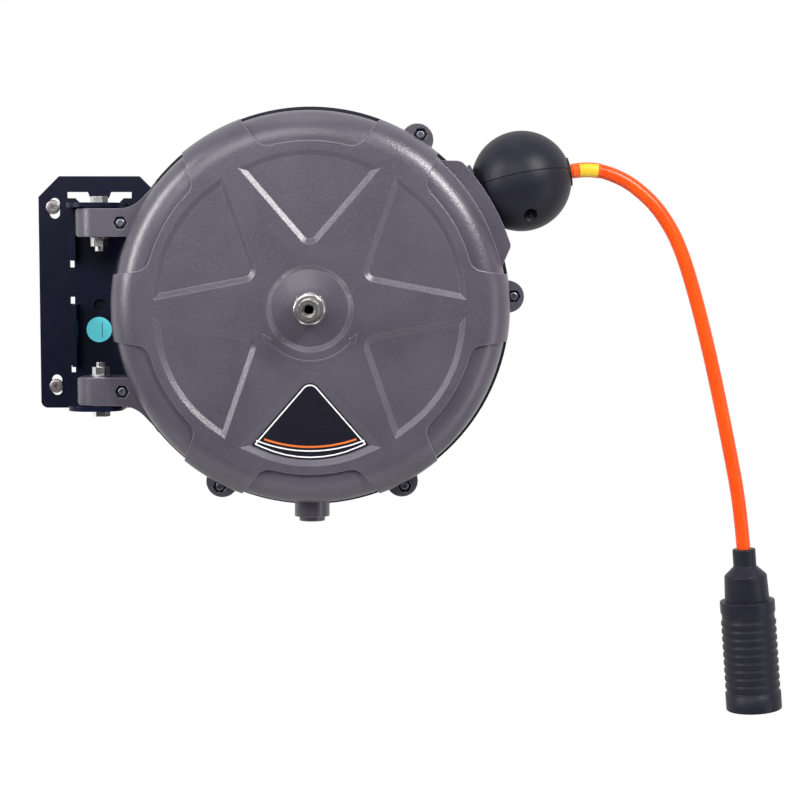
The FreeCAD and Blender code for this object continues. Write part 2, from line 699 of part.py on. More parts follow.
# Pivot bolts, one through each ear and knuckle, with nuts, washers and bushes
nut_seat = s.knuckle_low - s.slack - s.washer_thick
nut_end = nut_seat - s.nut_high
bolt_tip = nut_end - s.bolt_tail
bolts = []
pivot_nuts = []
pivot_washers = []
pivot_bushes = []
for end, side, turn in (("upper", 1, ALONG_Y), ("lower", -1, DOWN_Y)):
    foot = (s.pivot_x, -s.housing_drop, s.pivot_out)
    shank = rod(f"{end}_shank", s.bolt_radius, bolt_tip, ear_outer)
    head = hexagon(f"{end}_head", s.bolt_flats, ear_outer, ear_outer + s.bolt_head)
    bolts.append(place(fused(f"{end}_bolt", shank, head), foot, turn))
    bored = cut(f"{end}_nut", hexagon(f"{end}_nut_blank", s.bolt_flats, nut_end, nut_seat),
                rod(f"{end}_nut_bore", s.bolt_radius, nut_end - PAST, nut_seat + PAST))
    pivot_nuts.append(place(bored, foot, turn))
    flat = tube(f"{end}_flat_washer", s.bolt_radius + s.run_clear, s.washer_radius,
                nut_seat, nut_seat + s.washer_thick)
    thrust = tube(f"{end}_thrust_washer", s.bolt_radius + s.run_clear, s.thrust_radius,
                  s.knuckle_high + s.slack, ear_inner)
    pivot_washers.append(place(flat, foot, turn))
    pivot_washers.append(place(thrust, foot, turn))
    bush = tube(f"{end}_bush", s.bolt_radius + s.run_clear, s.bush_radius, s.knuckle_low, s.knuckle_high)
    pivot_bushes.append(place(bush, (-pivot_reach, 0, 0), turn))
piece("pivot_bolts", WALL, *bolts)
piece("pivot_nuts", WALL, *pivot_nuts)
piece("pivot_washers", WALL, *pivot_washers)
piece("pivot_bushes", HOUSING, *pivot_bushes)

# Housing: one outer form and one hollow, shared by both shells
hub_top = s.front_depth + s.cone_rise
rear_face = -s.rear_depth - s.rear_raise
outer_form = revolved("outer_form", [
    (0, rear_face),
    (s.rear_pad, rear_face),
    (s.rear_pad + s.rear_raise, -s.rear_depth),
    (s.shell_radius, -s.rear_depth, s.rear_round),
    (s.shell_radius, s.front_depth, s.shoulder),
    (s.dish_outer, s.front_depth),
    (s.dish_inner, s.front_depth - s.dish_depth),
    (s.cone_radius, hub_top),
    (0, hub_top),
])
ceiling = s.front_depth - s.dish_depth - s.wall
floor = s.wall - s.rear_depth
hollow_radius = s.shell_radius - s.step - s.wall
bush_end = s.drum_half + s.flange_thick * 2
boss_face = bush_end + s.drum_gap
hollow = revolved("hollow", [
    (0, -boss_face),
    (s.hub_boss, -boss_face),
    (s.hub_boss, floor),
    (hollow_radius, floor, s.rear_round - s.wall),
    (hollow_radius, ceiling, s.shoulder - s.step - s.wall),
    (s.hub_boss, ceiling),
    (s.hub_boss, boss_face),
    (0, boss_face),
])

# Scallops: six shallow steps in the rim
apex = s.scallop_inner / cosine(s.scallop_blend)
corner_y = apex - s.scallop_half * tangent(s.scallop_blend)
far_y = s.shell_radius + s.wall
far_x = s.scallop_half + (far_y - corner_y) * tangent(s.scallop_flare)
column = extruded("scallop_column", [
    (-far_x, far_y),
    (-s.scallop_half, corner_y, s.scallop_corner),
    (0, apex, s.scallop_bow),
    (s.scallop_half, corner_y, s.scallop_corner),
    (far_x, far_y),
], 0, s.front_depth + PAST)
inset_form = revolved("inset_form", [
    (0, -PAST),
    (s.shell_radius - s.step, -PAST),
    (s.shell_radius - s.step, s.front_depth - s.step, s.shoulder - s.step),
    (0, s.front_depth - s.step),
])
star_angles = [FULL_TURN * number / SCALLOPS for number in range(SCALLOPS)]
scallop = cut("scallop", column, inset_form)

# Star panels: six sunk triangles with sloped borders
tip_angle = Size(
    math.degrees(math.atan2(s.panel_half.value, (s.panel_out - s.panel_tip).value)),
    f"atan2({s.panel_half.text}; {(s.panel_out - s.panel_tip).text})",
)


def panel_outline(inset):
    """One panel's outline, drawn in by inset all round."""
    tip = s.panel_tip + inset / sine(tip_angle)
    crown = s.panel_out + s.panel_half * tangent(s.panel_lean) - inset / cosine(s.panel_lean)
    half = (crown - tip) / (1 / tangent(tip_angle) + tangent(s.panel_lean))
    side = crown - half * tangent(s.panel_lean)
    return [
        (0, tip, s.panel_round - inset),
        (half, side),
        (0, crown, s.panel_crown - inset),
        (-half, side),
    ]


sections = []
for name, inset, level in (
    ("panel_rim", -s.panel_over, s.front_depth + s.panel_over / 2),
    ("panel_floor", s.panel_bevel, s.front_depth - s.panel_depth),
):
    sketch = doc.addObject("Sketcher::SketchObject", name)
    place(sketch, (0, 0, level))
    draw_outline(sketch, panel_outline(inset))
    sections.append(sketch)
panel = doc.addObject("Part::Loft", "panel")
panel.Sections = sections
panel.Solid = True
panel.Ruled = True

# Arms: knuckles on the pivot axis, swept into the rim
arms = []
for end, side in (("upper", 1), ("lower", -1)):
    corners = [
        (-pivot_reach - s.knuckle_radius, side * s.knuckle_low, s.arm_round),
        (s.arm_inner - pivot_reach, side * s.knuckle_low, s.arm_fillet),
        (s.arm_meet_inner - pivot_reach, side * s.arm_neck),
        (s.arm_root - pivot_reach, side * s.arm_neck),
        (s.arm_root - pivot_reach, side * s.arm_top),
        (s.arm_meet_outer - pivot_reach, side * s.arm_wide),
        (s.arm_outer - pivot_reach, side * s.knuckle_high, s.arm_flare),
        (-pivot_reach - s.knuckle_radius, side * s.knuckle_high, s.arm_round),
    ]
    if side < 0:
        corners.reverse()
    plan = extruded(f"{end}_arm_plan", corners, -s.knuckle_radius, s.knuckle_radius)
    arms.append(plan)
barrel = primitive("Part::Cylinder", "barrel", (-pivot_reach, -s.knuckle_high - PAST, 0), ALONG_Y,
                   Radius=s.knuckle_radius, Height=(s.knuckle_high + PAST) * 2)
arm_side = fused("arm_side", barrel, block(
    "arm_block", (-pivot_reach, s.arm_root - pivot_reach + PAST), (-s.shell_radius, s.shell_radius),
    (-s.knuckle_radius, s.knuckle_radius)))
arm_solids = common("arm_solids", bundle("arm_plans", arms), arm_side)

# Outlet block, drawn along x and turned to the outlet's direction
outlet_rim = s.shell_radius + s.outlet_proud
outlet_back = s.shell_radius - s.outlet_root
outlet_nose = outlet_rim / cosine(s.outlet_bow)
upper_x = outlet_nose - s.outlet_high * tangent(s.outlet_bow)
lower_x = outlet_nose - s.outlet_low * tangent(s.outlet_bow)
outlet_plain = extruded("outlet_plain", [
    (outlet_back, (outlet_back - lower_x) * tangent(s.outlet_under) - s.outlet_low),
    (lower_x, -s.outlet_low, s.outlet_corner),
    (outlet_nose, 0, outlet_rim),
    (upper_x, s.outlet_high, s.outlet_round),
    (outlet_back, (upper_x - outlet_back) * tangent(s.outlet_spread) + s.outlet_high),
], -s.outlet_deep, s.outlet_deep)
outlet_block = turned("outlet_block", outlet_plain, s.outlet_angle)

# Latch boss under the rim
boss_out = s.shell_radius + s.boss_drop
latch_boss = primitive("Part::Cylinder", "latch_boss", (0, -boss_out, 0), ALONG_Y,
                       Radius=s.boss_radius, Height=boss_out - hollow_radius + PAST)
screw_circle = s.shell_radius + s.screw_beyond
lug_circle = screw_circle - s.lug_inset
lugs = [
    rod(f"lug_{number}", s.lug_radius, -s.lug_high, s.lug_high, *polar(lug_circle, angle))
    for number, angle in enumerate(LUG_ANGLES)
]
rim = cut("rim", outer_form, ring_of("scallops", scallop, star_angles), ring_of("panels", panel, star_angles))
rear_rib = block("rear_rib", (s.rear_pad, s.rear_rib_end), (-s.rear_rib_wide / 2, s.rear_rib_wide / 2),
                 (-s.rear_depth - s.rear_raise, -s.rear_depth + PAST))
rear_ribs = ring_of("rear_ribs", rear_rib, [angle + FULL_TURN / SCALLOPS / 2 for angle in star_angles])
whole = fused("whole_housing", rim, *lugs, arm_solids, outlet_block, latch_boss, rear_ribs)

# What is taken out of both shells
screws = []
shell_nuts = []
clearings = []
head_seats = [(*polar(screw_circle, angle), s.lug_high) for angle in LUG_ANGLES]
head_seats += [(s.arm_screw_in - pivot_reach, side * s.arm_screw_up, s.knuckle_radius) for side in (1, -1)]
for number, (x, y, top) in enumerate(head_seats):
    seat = top - s.pocket_depth
    nut_top = s.small_nut_high + s.slack - top
    clearings.append(hexagon(f"screw_pocket_{number}", s.pocket_flats, seat, top + PAST, x, y))
    clearings.append(hexagon(f"nut_pocket_{number}", s.small_nut_flats + s.slack, -top - PAST, nut_top, x, y))
    clearings.append(rod(f"screw_hole_{number}", s.screw_radius + s.slack, -top - PAST, top + PAST, x, y))
    shank = rod(f"screw_shank_{number}", s.screw_radius, -top, seat, x, y)
    head = revolved(f"screw_head_{number}", [
        (0, seat),
        (s.head_radius, seat),
        (s.head_radius, seat + s.head_high, s.head_round),
        (0, seat + s.head_high),
    ])
    place(head, (x, y, 0))
    slots = [
        primitive("Part::Box", f"cross_{number}_{way}",
                  (x - long / 2, y - wide / 2, seat + s.head_high - s.cross_deep),
                  Length=long, Width=wide, Height=s.head_high)
        for way, long, wide in (("a", s.head_radius, s.cross_wide), ("b", s.cross_wide, s.head_radius))
    ]
    screws.append(cut(f"screw_{number}", fused(f"screw_blank_{number}", shank, head), *slots))
    nut = hexagon(f"shell_nut_blank_{number}", s.small_nut_flats, nut_top - s.small_nut_high - s.slack,
                  nut_top - s.slack, x, y)
    hole = rod(f"shell_nut_hole_{number}", s.screw_radius, -top - PAST, top, x, y)
    shell_nuts.append(cut(f"shell_nut_{number}", nut, hole))
pivot_bore = primitive("Part::Cylinder", "pivot_bore", (-pivot_reach, -s.knuckle_high - PAST, 0), ALONG_Y,
                       Radius=s.bush_radius, Height=(s.knuckle_high + PAST) * 2)
seal_inner = s.shell_radius - s.seal_width
groove = tube("groove", seal_inner, s.shell_radius + s.seal_proud, -s.seal_thick / 2, s.seal_thick / 2)
shaft_hole = rod("shaft_hole", s.shaft_radius + s.slack, rear_face - PAST, hub_top + PAST)
nut_recess = rod("nut_recess", s.recess_radius, rear_face - PAST, -boss_face - s.wall)
throat_gap = s.slack
throat_start = s.shell_radius - s.throat_root
throat_well = block("throat_well", (throat_start - s.throat_room, outlet_rim + PAST),
                    (-s.throat_low - throat_gap, s.throat_high + throat_gap),
                    (-s.throat_deep - throat_gap, s.throat_deep + throat_gap))
ball_reach = s.shell_radius + s.ball_out
ball_x = ball_reach * cosine(s.outlet_angle) - s.ball_up * sine(s.outlet_angle)
ball_y = ball_reach * sine(s.outlet_angle) + s.ball_up * cosine(s.outlet_angle)
ball_seat = primitive("Part::Sphere", "ball_seat", (ball_x, ball_y, 0), Radius=s.ball_radius + s.ball_seat)
ledge = hollow_radius + s.wall
stem_hole = primitive("Part::Cylinder", "stem_hole", (0, -boss_out - PAST, 0), ALONG_Y,
                      Radius=s.stem_radius + s.slack, Height=boss_out)
latch_well = primitive("Part::Cylinder", "latch_well", (0, -boss_out - PAST, 0), ALONG_Y,
                       Radius=s.latch_bore, Height=boss_out + PAST - ledge)
clearings += [
    hollow, pivot_bore, groove, shaft_hole, nut_recess, turned("throat_room", throat_well, s.outlet_angle),
    ball_seat, stem_hole, latch_well,
]
far = pivot_reach + s.shell_radius
opened = cut("opened_housing", whole, *clearings)
behind = block("behind", (-far, far), (-far, far), (-far, 0))
ahead = block("ahead", (-far, far), (-far, far), (0, far))
piece("front_shell", HOUSING, cut("front_half", opened, behind))
piece("rear_shell", HOUSING, cut("rear_half", opened, ahead))
seal_ring = tube("seal_ring", seal_inner, s.shell_radius + s.seal_proud, -s.seal_thick / 2, s.seal_thick / 2)
seal_gate = turned("seal_gate", block(
    "seal_gate_block", (throat_start, far), (-s.throat_low - throat_gap, s.throat_high + throat_gap),
    (-s.seal_thick, s.seal_thick)), s.outlet_angle)
latch_gate = block("latch_gate", (-s.latch_bore, s.latch_bore), (-far, 0), (-s.seal_thick, s.seal_thick))
piece("rim_seal", HOUSING, cut("rim_seal_cut", seal_ring, seal_gate, latch_gate))
piece("shell_screws", HOUSING, *screws)
piece("shell_nuts", HOUSING, *shell_nuts)

# Hub shaft: fixed in both shells, with an air bore and a cross hole into the swivel
recess_floor = boss_face + s.wall
shaft_end = hub_top + s.shaft_tip
shaft_blank = tube("shaft_blank", s.shaft_bore, s.shaft_radius, s.shaft_inset - s.rear_depth, shaft_end)
shaft_plug = rod("shaft_plug", s.shaft_bore, s.shaft_inset - s.rear_depth, 0)
cross_hole = primitive("Part::Cylinder", "cross_hole", (0, 0, s.barb_level), ALONG_Y,
                       Radius=s.cross_bore, Height=s.shaft_radius + PAST)
piece("hub_shaft", HOUSING, cut("shaft", fused("shaft_solid", shaft_blank, shaft_plug), cross_hole))
nut_blank = hexagon("shaft_nut_blank", s.nut_flats, -s.rear_depth + s.drum_gap, -recess_floor)
nut_hole = rod("shaft_nut_hole", s.shaft_radius, -far, 0)
piece("shaft_nut", HOUSING, cut("shaft_nut_solid", nut_blank, nut_hole))

# Inlet fitting, screwed on the shaft's end
hex_low = hub_top + s.inlet_flange_high
hex_top = hex_low + s.inlet_hex_high
inlet_end = hex_top + s.inlet_tube_long
inlet_flange = rod("inlet_flange_disc", s.inlet_flange, hub_top, hex_low)
inlet_hex = common("inlet_hex", hexagon("inlet_hex_blank", s.nut_flats, hex_low, hex_top), revolved(
    "inlet_hex_round", [
        (0, hex_low),
        (s.inlet_flange, hex_low),
        (s.inlet_flange, hex_top, s.inlet_flange_high),
        (0, hex_top),
    ]))
inlet_tube = rod("inlet_tube_rod", s.inlet_tube, hex_top, inlet_end)
inlet_bores = revolved("inlet_bores", [
    (0, hub_top - PAST),
    (s.shaft_radius, hub_top - PAST),
    (s.shaft_radius, shaft_end),
    (s.shaft_bore, shaft_end),
    (s.shaft_bore, inlet_end - s.inlet_depth),
    (s.inlet_bore, inlet_end - s.inlet_depth),
    (s.inlet_bore, inlet_end + PAST),
    (0, inlet_end + PAST),
])
piece("inlet_fitting", HOUSING,
      cut("inlet", fused("inlet_solid", inlet_flange, inlet_hex, inlet_tube), inlet_bores))

# Drum: core, two flanges, bushes, spring cover
bush_outer = s.shaft_radius + s.run_clear + s.bush_wall
flange_face = s.drum_half + s.flange_thick
flange_radius = hollow_radius - s.flange_off
piece("drum_flange_front", HOUSING,
      tube("front_flange", bush_outer, flange_radius, s.drum_half, flange_face))
piece("drum_flange_rear", HOUSING,
      tube("rear_flange", bush_outer, flange_radius, -flange_face, -s.drum_half))
core_inner = s.core_radius - s.core_wall
core = tube("core", core_inner, s.core_radius, -s.drum_half, s.drum_half)
barb_hole = primitive("Part::Cylinder", "barb_hole", (0, 0, s.barb_level), ALONG_Y,
                      Radius=s.barb_radius + s.slack, Height=s.core_radius + PAST)
piece("drum_core", HOUSING, cut("core_cut", core, barb_hole))
piece("drum_bushes", HOUSING,
      tube("front_bush", s.shaft_radius + s.run_clear, bush_outer, s.drum_half, bush_end),
      tube("rear_bush", s.shaft_radius + s.run_clear, bush_outer, -bush_end, -s.drum_half))
piece("spring_cover", HOUSING, tube("cover", bush_outer, core_inner, -s.cover_thick, 0))

# Latch catches: two blocks on the front flange, with a gap for the latch bar
catch_out = flange_radius + s.catch_gap + s.latch_travel - s.bar_clear
catch_front = flange_face + s.catch_high
bar_in = catch_out + s.bar_clear
catches = [
    block(f"catch_{name}", span, (-catch_out, s.catch_root - flange_radius), (flange_face, catch_front))
    for name, span in (
        ("left", (-s.notch_half - s.catch_wide, -s.notch_half)),
        ("right", (s.notch_half, s.notch_half + s.catch_wide)),
    )
]
piece("latch_catches", HOUSING, *catches)

# Power spring: a strip of half circles about two centres, each half turn a little larger
def spiral_strip(high):
    """The wound strip's solid, high along z."""
    shift = s.spring_pitch.value / 2
    thick = s.spring_thick.value
    edges = []
    sides = []
    for inward in (0, thick):
        arcs = []
        for number in range(SPRING_HALF_TURNS):
            radius = s.spring_inner.value + number * shift - inward
            centre = shift * (number % 2)
            sign = 1 if number % 2 == 0 else -1
            start = Vector(centre + sign * radius, 0, 0)
            middle = Vector(centre, sign * radius, 0)
            end = Vector(centre - sign * radius, 0, 0)
            arcs.append(Part.Arc(start, middle, end).toShape())
        edges += arcs
        sides.append((arcs[0].firstVertex(True).Point, arcs[-1].lastVertex(True).Point))
    for outer, inner in zip(*sides):
        edges.append(Part.LineSegment(outer, inner).toShape())
    face = Part.Face(Part.Wire(Part.__sortEdges__(edges)))
    return face.extrude(Vector(0, 0, high.value))


spring_low = -s.drum_half + s.spring_thick
spring_high = s.drum_half - s.cover_thick - s.spring_thick * 2
spring_strip = place(solid("spring_strip", spiral_strip(spring_high)), (0, 0, spring_low))
spring_hook = block("spring_hook", (s.shaft_radius - s.slack * 2, s.spring_inner), (-s.spring_thick, 0),
                    (spring_low, spring_low + spring_high))
piece("power_spring", HOUSING, cut("spring_cut", fused("spring_solid", spring_strip, spring_hook),
                                   rod("spring_eye", s.shaft_radius, -far, 0)))

# Air swivel on the shaft, with its O-rings and the hose's tail
ring_groove = s.ring_wire * 2 + s.slack
groove_levels = (s.ring_inset, s.swivel_high - s.ring_inset)
swivel_blank = tube("swivel_blank", s.shaft_radius + s.run_clear, s.swivel_radius, 0, s.swivel_high)
grooves = [
    tube(f"ring_groove_{number}", s.shaft_radius, s.shaft_radius + ring_groove,
         level - ring_groove / 2, level + ring_groove / 2)
    for number, level in enumerate(groove_levels)
]
tail_bore = primitive("Part::Cylinder", "tail_bore", (0, 0, s.barb_level), ALONG_Y,
                      Radius=s.barb_radius, Height=s.swivel_radius + PAST)
piece("swivel_block", HOUSING, cut("swivel", swivel_blank, *grooves, tail_bore))
rings = [
    primitive("Part::Torus", f"o_ring_{number}", (0, 0, level),
              Radius1=s.shaft_radius + s.run_clear + s.ring_wire, Radius2=s.ring_wire)
    for number, level in enumerate(groove_levels)
]
piece("swivel_seals", HOUSING, *rings)
tail = primitive("Part::Cylinder", "tail", (0, s.tail_start, s.barb_level), ALONG_Y,
                 Radius=s.barb_radius, Height=s.core_radius - s.tail_start)
tail_hole = primitive("Part::Cylinder", "tail_hole", (0, 0, s.barb_level), ALONG_Y,
                      Radius=s.tail_bore, Height=s.core_radius + PAST)
tail_nut = hexagon("tail_nut", s.bolt_flats, 0, s.nut_high)
place(tail_nut, (0, s.swivel_radius, s.barb_level), ALONG_Y)
piece("hose_tail", HOUSING, cut("tail_cut", fused("tail_solid", tail, tail_nut), tail_hole))

# Hose on the drum: closed turns; the last layer leaves room for the run to the outlet
first_layer = s.core_radius + s.winding_gap + s.hose_radius
LAYER_TURNS = ((-1.5, -0.5, 0.5, 1.5), (-1.5, -0.5, 0.5, 1.5), (-1.5, -0.5, 0.5, 1.5), (-1.5, 1.5))
windings = []
for layer, turns in enumerate(LAYER_TURNS):
    for number, turn in enumerate(turns):
        windings.append(primitive(
            "Part::Torus", f"turn_{layer}_{number}", (0, 0, s.turn_pitch * turn),
            Radius1=first_layer + s.layer_pitch * layer, Radius2=s.hose_radius))
piece("hose_windings", HOUSING, *windings)


def spread_radius(before, corner, after):
    """The radius of an arc that takes a fixed share of the shorter of two runs."""
    bend = turning(before, corner, after)[2]
    shorter = min(math.dist(before, corner), math.dist(corner, after))
    return RUN_SHARE * shorter / math.tan(abs(bend) / 2)


def route_edges(points, radii):
    """Straight runs joined by tangent arcs through points, in the plane z = 0."""
    edges = []
    here = Vector(*points[0], 0)
    for number in range(1, len(points) - 1):
        corner = Vector(*points[number], 0)
        back = (Vector(*points[number - 1], 0) - corner).normalize()
        on = (Vector(*points[number + 1], 0) - corner).normalize()
        bend = turning(points[number - 1], points[number], points[number + 1])[2]
        length = radii[number - 1] * math.tan(abs(bend) / 2)
        start = corner + back * length
        end = corner + on * length
        inner = (back + on).normalize()
        depth = radii[number - 1] / math.cos(bend / 2) - radii[number - 1]
        edges.append(Part.LineSegment(here, start).toShape())
        edges.append(Part.Arc(start, corner + inner * depth, end).toShape())
        here = end
    edges.append(Part.LineSegment(here, Vector(*points[-1], 0)).toShape())
    return edges


def swept(edges, radius):
    """A round bar of the given radius along edges."""
    path = Part.Wire(edges)
    first = edges[0]
    start = first.firstVertex(True).Point
    circle = Part.Wire(Part.Circle(start, first.tangentAt(first.FirstParameter), radius).toShape())
    return path.makePipeShell([circle], True, False)


# The lead: from the drum under the upper guide roller and through the ball stop
lead_radius = first_layer + s.layer_pitch * 3
throat_x = (s.shell_radius - s.throat_bend_x).value
throat_y = s.throat_bend_y.value
outlet_turn = math.radians(s.outlet_angle.value)
throat_point = (
    throat_x * math.cos(outlet_turn) - throat_y * math.sin(outlet_turn),
    throat_x * math.sin(outlet_turn) + throat_y * math.cos(outlet_turn),
)
ball_point = (ball_x.value, ball_y.value)
throat_reach = math.hypot(*throat_point)
tangent_turn = math.atan2(throat_point[1], throat_point[0]) - math.asin(lead_radius.value / throat_reach)
tangent_point = (
    lead_radius.value * math.cos(tangent_turn + math.pi / 2),
    lead_radius.value * math.sin(tangent_turn + math.pi / 2),
)
exit_turn = math.radians(s.exit_angle.value)
exit_way = (math.cos(exit_turn), math.sin(exit_turn))
exit_reach = s.ball_flat.value + s.collar_proud.value
exit_point = (ball_point[0] + exit_reach * exit_way[0], ball_point[1] + exit_reach * exit_way[1])
lead_points = [tangent_point, throat_point, ball_point, exit_point]
roller_bend = s.roller_bend.value
lead_edges = route_edges(lead_points, [roller_bend, s.ball_bend.value])
hose_r = s.hose_radius.value
wound_start = tangent_turn + math.pi / 2 + math.radians(LEAD_WRAP)
wound_middle = wound_start - math.radians(LEAD_WRAP / 2)
wound = Part.Arc(
    Vector(lead_radius.value * math.cos(wound_start), lead_radius.value * math.sin(wound_start), 0),
    Vector(lead_radius.value * math.cos(wound_middle), lead_radius.value * math.sin(wound_middle), 0),
    Vector(*tangent_point, 0)).toShape()
piece("hose_lead", HOUSING, solid("lead", swept([wound] + lead_edges, hose_r)))

# Guide rollers each side of the hose, on pins in the throat
throat_bend = turning(*lead_points[:3])[2]
before_turn = math.atan2(throat_point[1] - tangent_point[1], throat_point[0] - tangent_point[0])
middle_turn = before_turn + throat_bend / 2
bow = roller_bend / math.cos(throat_bend / 2) - roller_bend
roller_off = s.hose_radius.value + s.winding_gap.value + s.roller_radius.value
after_turn = middle_turn + throat_bend / 2
roller_places = []
for along, turn, side in ((0, middle_turn, 1), (s.hose_radius.value, after_turn, -1)):
    off = roller_off + (bow if side > 0 else 0)
    normal = turn + side * math.pi / 2
    x = throat_point[0] + along * math.cos(turn) + off * math.cos(normal)
    y = throat_point[1] + along * math.sin(turn) + off * math.sin(normal)
    roller_places.append((x, y))
roller_half = s.throat_deep - s.throat_wall - s.winding_gap
roller_pins = []
for name, (x, y) in zip(("guide_roller_upper", "guide_roller_lower"), roller_places):
    bored = tube(f"{name}_ring", s.roller_pin + s.run_clear, s.roller_radius, -roller_half, roller_half)
    piece(name, HOUSING, place(bored, (x, y, 0)))
    roller_pins.append(rod(f"{name}_pin", s.roller_pin, -s.throat_deep, s.throat_deep, x, y))
piece("roller_pins", HOUSING, *roller_pins)
throat_box = block("throat_box", (throat_start, outlet_rim), (-s.throat_low, s.throat_high),
                   (-s.throat_deep, s.throat_deep))
throat_tunnel = block("throat_tunnel", (0, far),
                      (s.throat_wall - s.throat_low, s.throat_high - s.throat_wall),
                      (s.throat_wall - s.throat_deep, s.throat_deep - s.throat_wall))
throat_frame = turned("throat_frame", cut("throat_plain", throat_box, throat_tunnel), s.outlet_angle)
throat_seat = primitive("Part::Sphere", "throat_seat", (ball_x, ball_y, 0),
                        Radius=s.ball_radius + s.ball_seat)
pin_holes = [
    rod(f"pin_hole_{number}", s.roller_pin, -far, far, x, y) for number, (x, y) in enumerate(roller_places)
]
piece("outlet_throat", HOUSING, cut("throat", throat_frame, throat_seat, *pin_holes))

# Latch: a sprung bar that drops into a notch in the drum's front flange
stem_end = boss_out - s.cap_plug - s.slack
bar_out = bar_in + s.bar_high
latch_bar = block("latch_bar", (-s.bar_half, s.bar_half), (-bar_out, -bar_in), (-s.stem_radius, catch_front))
latch_stem = primitive("Part::Cylinder", "latch_stem", (0, -stem_end, 0), ALONG_Y,
                       Radius=s.stem_radius, Height=stem_end - bar_in)
latch_flange = primitive("Part::Cylinder", "latch_flange", (0, -stem_end, 0), ALONG_Y,
                         Radius=s.latch_bore - s.slack * 3, Height=s.latch_flange_high)
piece("latch_plunger", HOUSING, fused("latch", latch_bar, latch_stem, latch_flange))
cap_disc = primitive("Part::Cylinder", "cap_disc", (0, -boss_out - s.cap_high, 0), ALONG_Y,
                     Radius=s.cap_radius, Height=s.cap_high)
cap_spigot = primitive("Part::Cylinder", "cap_spigot", (0, -boss_out, 0), ALONG_Y,
                       Radius=s.latch_bore, Height=s.cap_plug)
piece("latch_cap", HOUSING, fused("cap", cap_disc, cap_spigot))


def coil(radius, wire, length, turns):
    """A spring along z of half turns, each tilted so that it ends where the next begins."""
    rise = length / turns / 2
    halves = []
    for number in range(turns * 2):
        side = 1 if number % 2 == 0 else -1
        begin = Vector(side * radius, 0, rise * number)
        end = Vector(-side * radius, 0, rise * (number + 1))
        middle = (begin + end) / 2
        axis = (begin - middle).cross(Vector(0, side, 0))
        disc = Part.Face(Part.Wire(Part.Circle(begin, Vector(0, 1, 0), wire).toShape()))
        halves.append(disc.revolve(middle, axis, FULL_TURN / 2))
    return halves[0].multiFuse(halves[1:]).removeSplitter()


latch_room = (stem_end - s.latch_flange_high - ledge).value - 2 * s.latch_wire.value - 2 * s.slack.value
spring_wire = s.latch_wire.value
latch_coil_radius = s.latch_bore.value - WIRES_CLEAR * spring_wire
latch_coil = solid("latch_coil", coil(latch_coil_radius, spring_wire, latch_room, LATCH_TURNS))
place(latch_coil, (0, -stem_end + s.latch_flange_high + s.latch_wire + s.slack, 0), ALONG_Y)
piece("latch_spring", HOUSING, latch_coil)

# Ball stop: two halves clamped round the hose; its own x runs along the hose
ball_turn = Rotation(Vector(0, 0, 1), s.exit_angle.value).multiply(
    Rotation(Vector(1, 0, 0), s.parting_turn.value - 90))
ball_place = (ball_x, ball_y, 0)
ball_bore = primitive("Part::Cylinder", "ball_bore", (0, 0, 0), Rotation(Vector(0, 1, 0), 90),
                      Radius=s.hose_radius, Height=s.ball_radius * 2)
entry_cone = primitive("Part::Cone", "entry_cone", (0, 0, 0), Rotation(Vector(0, 1, 0), -90),
                       Radius1=s.ball_narrow, Radius2=s.ball_entry, Height=s.ball_radius)
entry_ball = primitive("Part::Sphere", "entry_ball", Radius=s.ball_ease)
exit_cut = block("exit_cut", (s.ball_flat, s.ball_radius * 2), (-s.ball_radius, s.ball_radius),
                 (-s.ball_radius, s.ball_radius))
collar_seat = primitive("Part::Cylinder", "collar_seat", (s.ball_flat - s.collar_sunk, 0, 0),
                        Rotation(Vector(0, 1, 0), 90), Radius=s.collar_radius, Height=s.ball_radius)
ball_seam = tube("ball_seam", s.ball_radius - s.seam_deep, s.ball_radius + PAST,
                 -s.seam_wide / 2, s.seam_wide / 2)
ball_tools = [ball_bore, entry_cone, entry_ball, exit_cut, collar_seat, ball_seam]
ball_screws = []
head_level = -s.ball_screw_level
for number, side in enumerate((1, -1)):
    y = side * s.ball_screw_side
    ball_tools.append(rod(f"ball_pocket_{number}", s.ball_pocket, -s.ball_radius, head_level, 0, y))
    ball_tools.append(rod(f"ball_screw_hole_{number}", s.screw_radius, head_level - PAST, -head_level, 0, y))
    shank = rod(f"ball_screw_shank_{number}", s.screw_radius, head_level - PAST, -head_level, 0, y)
    head = rod(f"ball_screw_head_{number}", s.head_radius, head_level - s.head_high, head_level, 0, y)
    slots = [
        primitive("Part::Box", f"ball_cross_{number}_{way}",
                  (-long / 2, y - wide / 2, head_level - s.head_high * 2 + s.cross_deep),
                  Length=long, Width=wide, Height=s.head_high)
        for way, long, wide in (("a", s.head_radius, s.cross_wide), ("b", s.cross_wide, s.head_radius))
    ]
    ball_screws.append(cut(f"ball_screw_{number}", fused(f"ball_screw_blank_{number}", shank, head), *slots))
for label, angles in (("ball_upper", (0, 90)), ("ball_lower", (-90, 0))):
    half = primitive("Part::Sphere", f"{label}_half", Radius=s.ball_radius)
    half.Angle1, half.Angle2 = angles
    piece(label, HOUSING, place(cut(f"{label}_cut", half, *ball_tools), ball_place, ball_turn))
piece("ball_screws", HOUSING, bundle("ball_screw_pair", ball_screws, ball_place, ball_turn))
collar_ring = place(tube("collar_ring", s.hose_radius, s.collar_radius, s.ball_flat - s.collar_sunk,
                         s.ball_flat + s.collar_proud), (0, 0, 0), Rotation(Vector(0, 1, 0), 90))
piece("ball_collar", HOUSING, bundle("collar_at_ball", [collar_ring], ball_place,
                                     Rotation(Vector(0, 0, 1), s.exit_angle.value)))

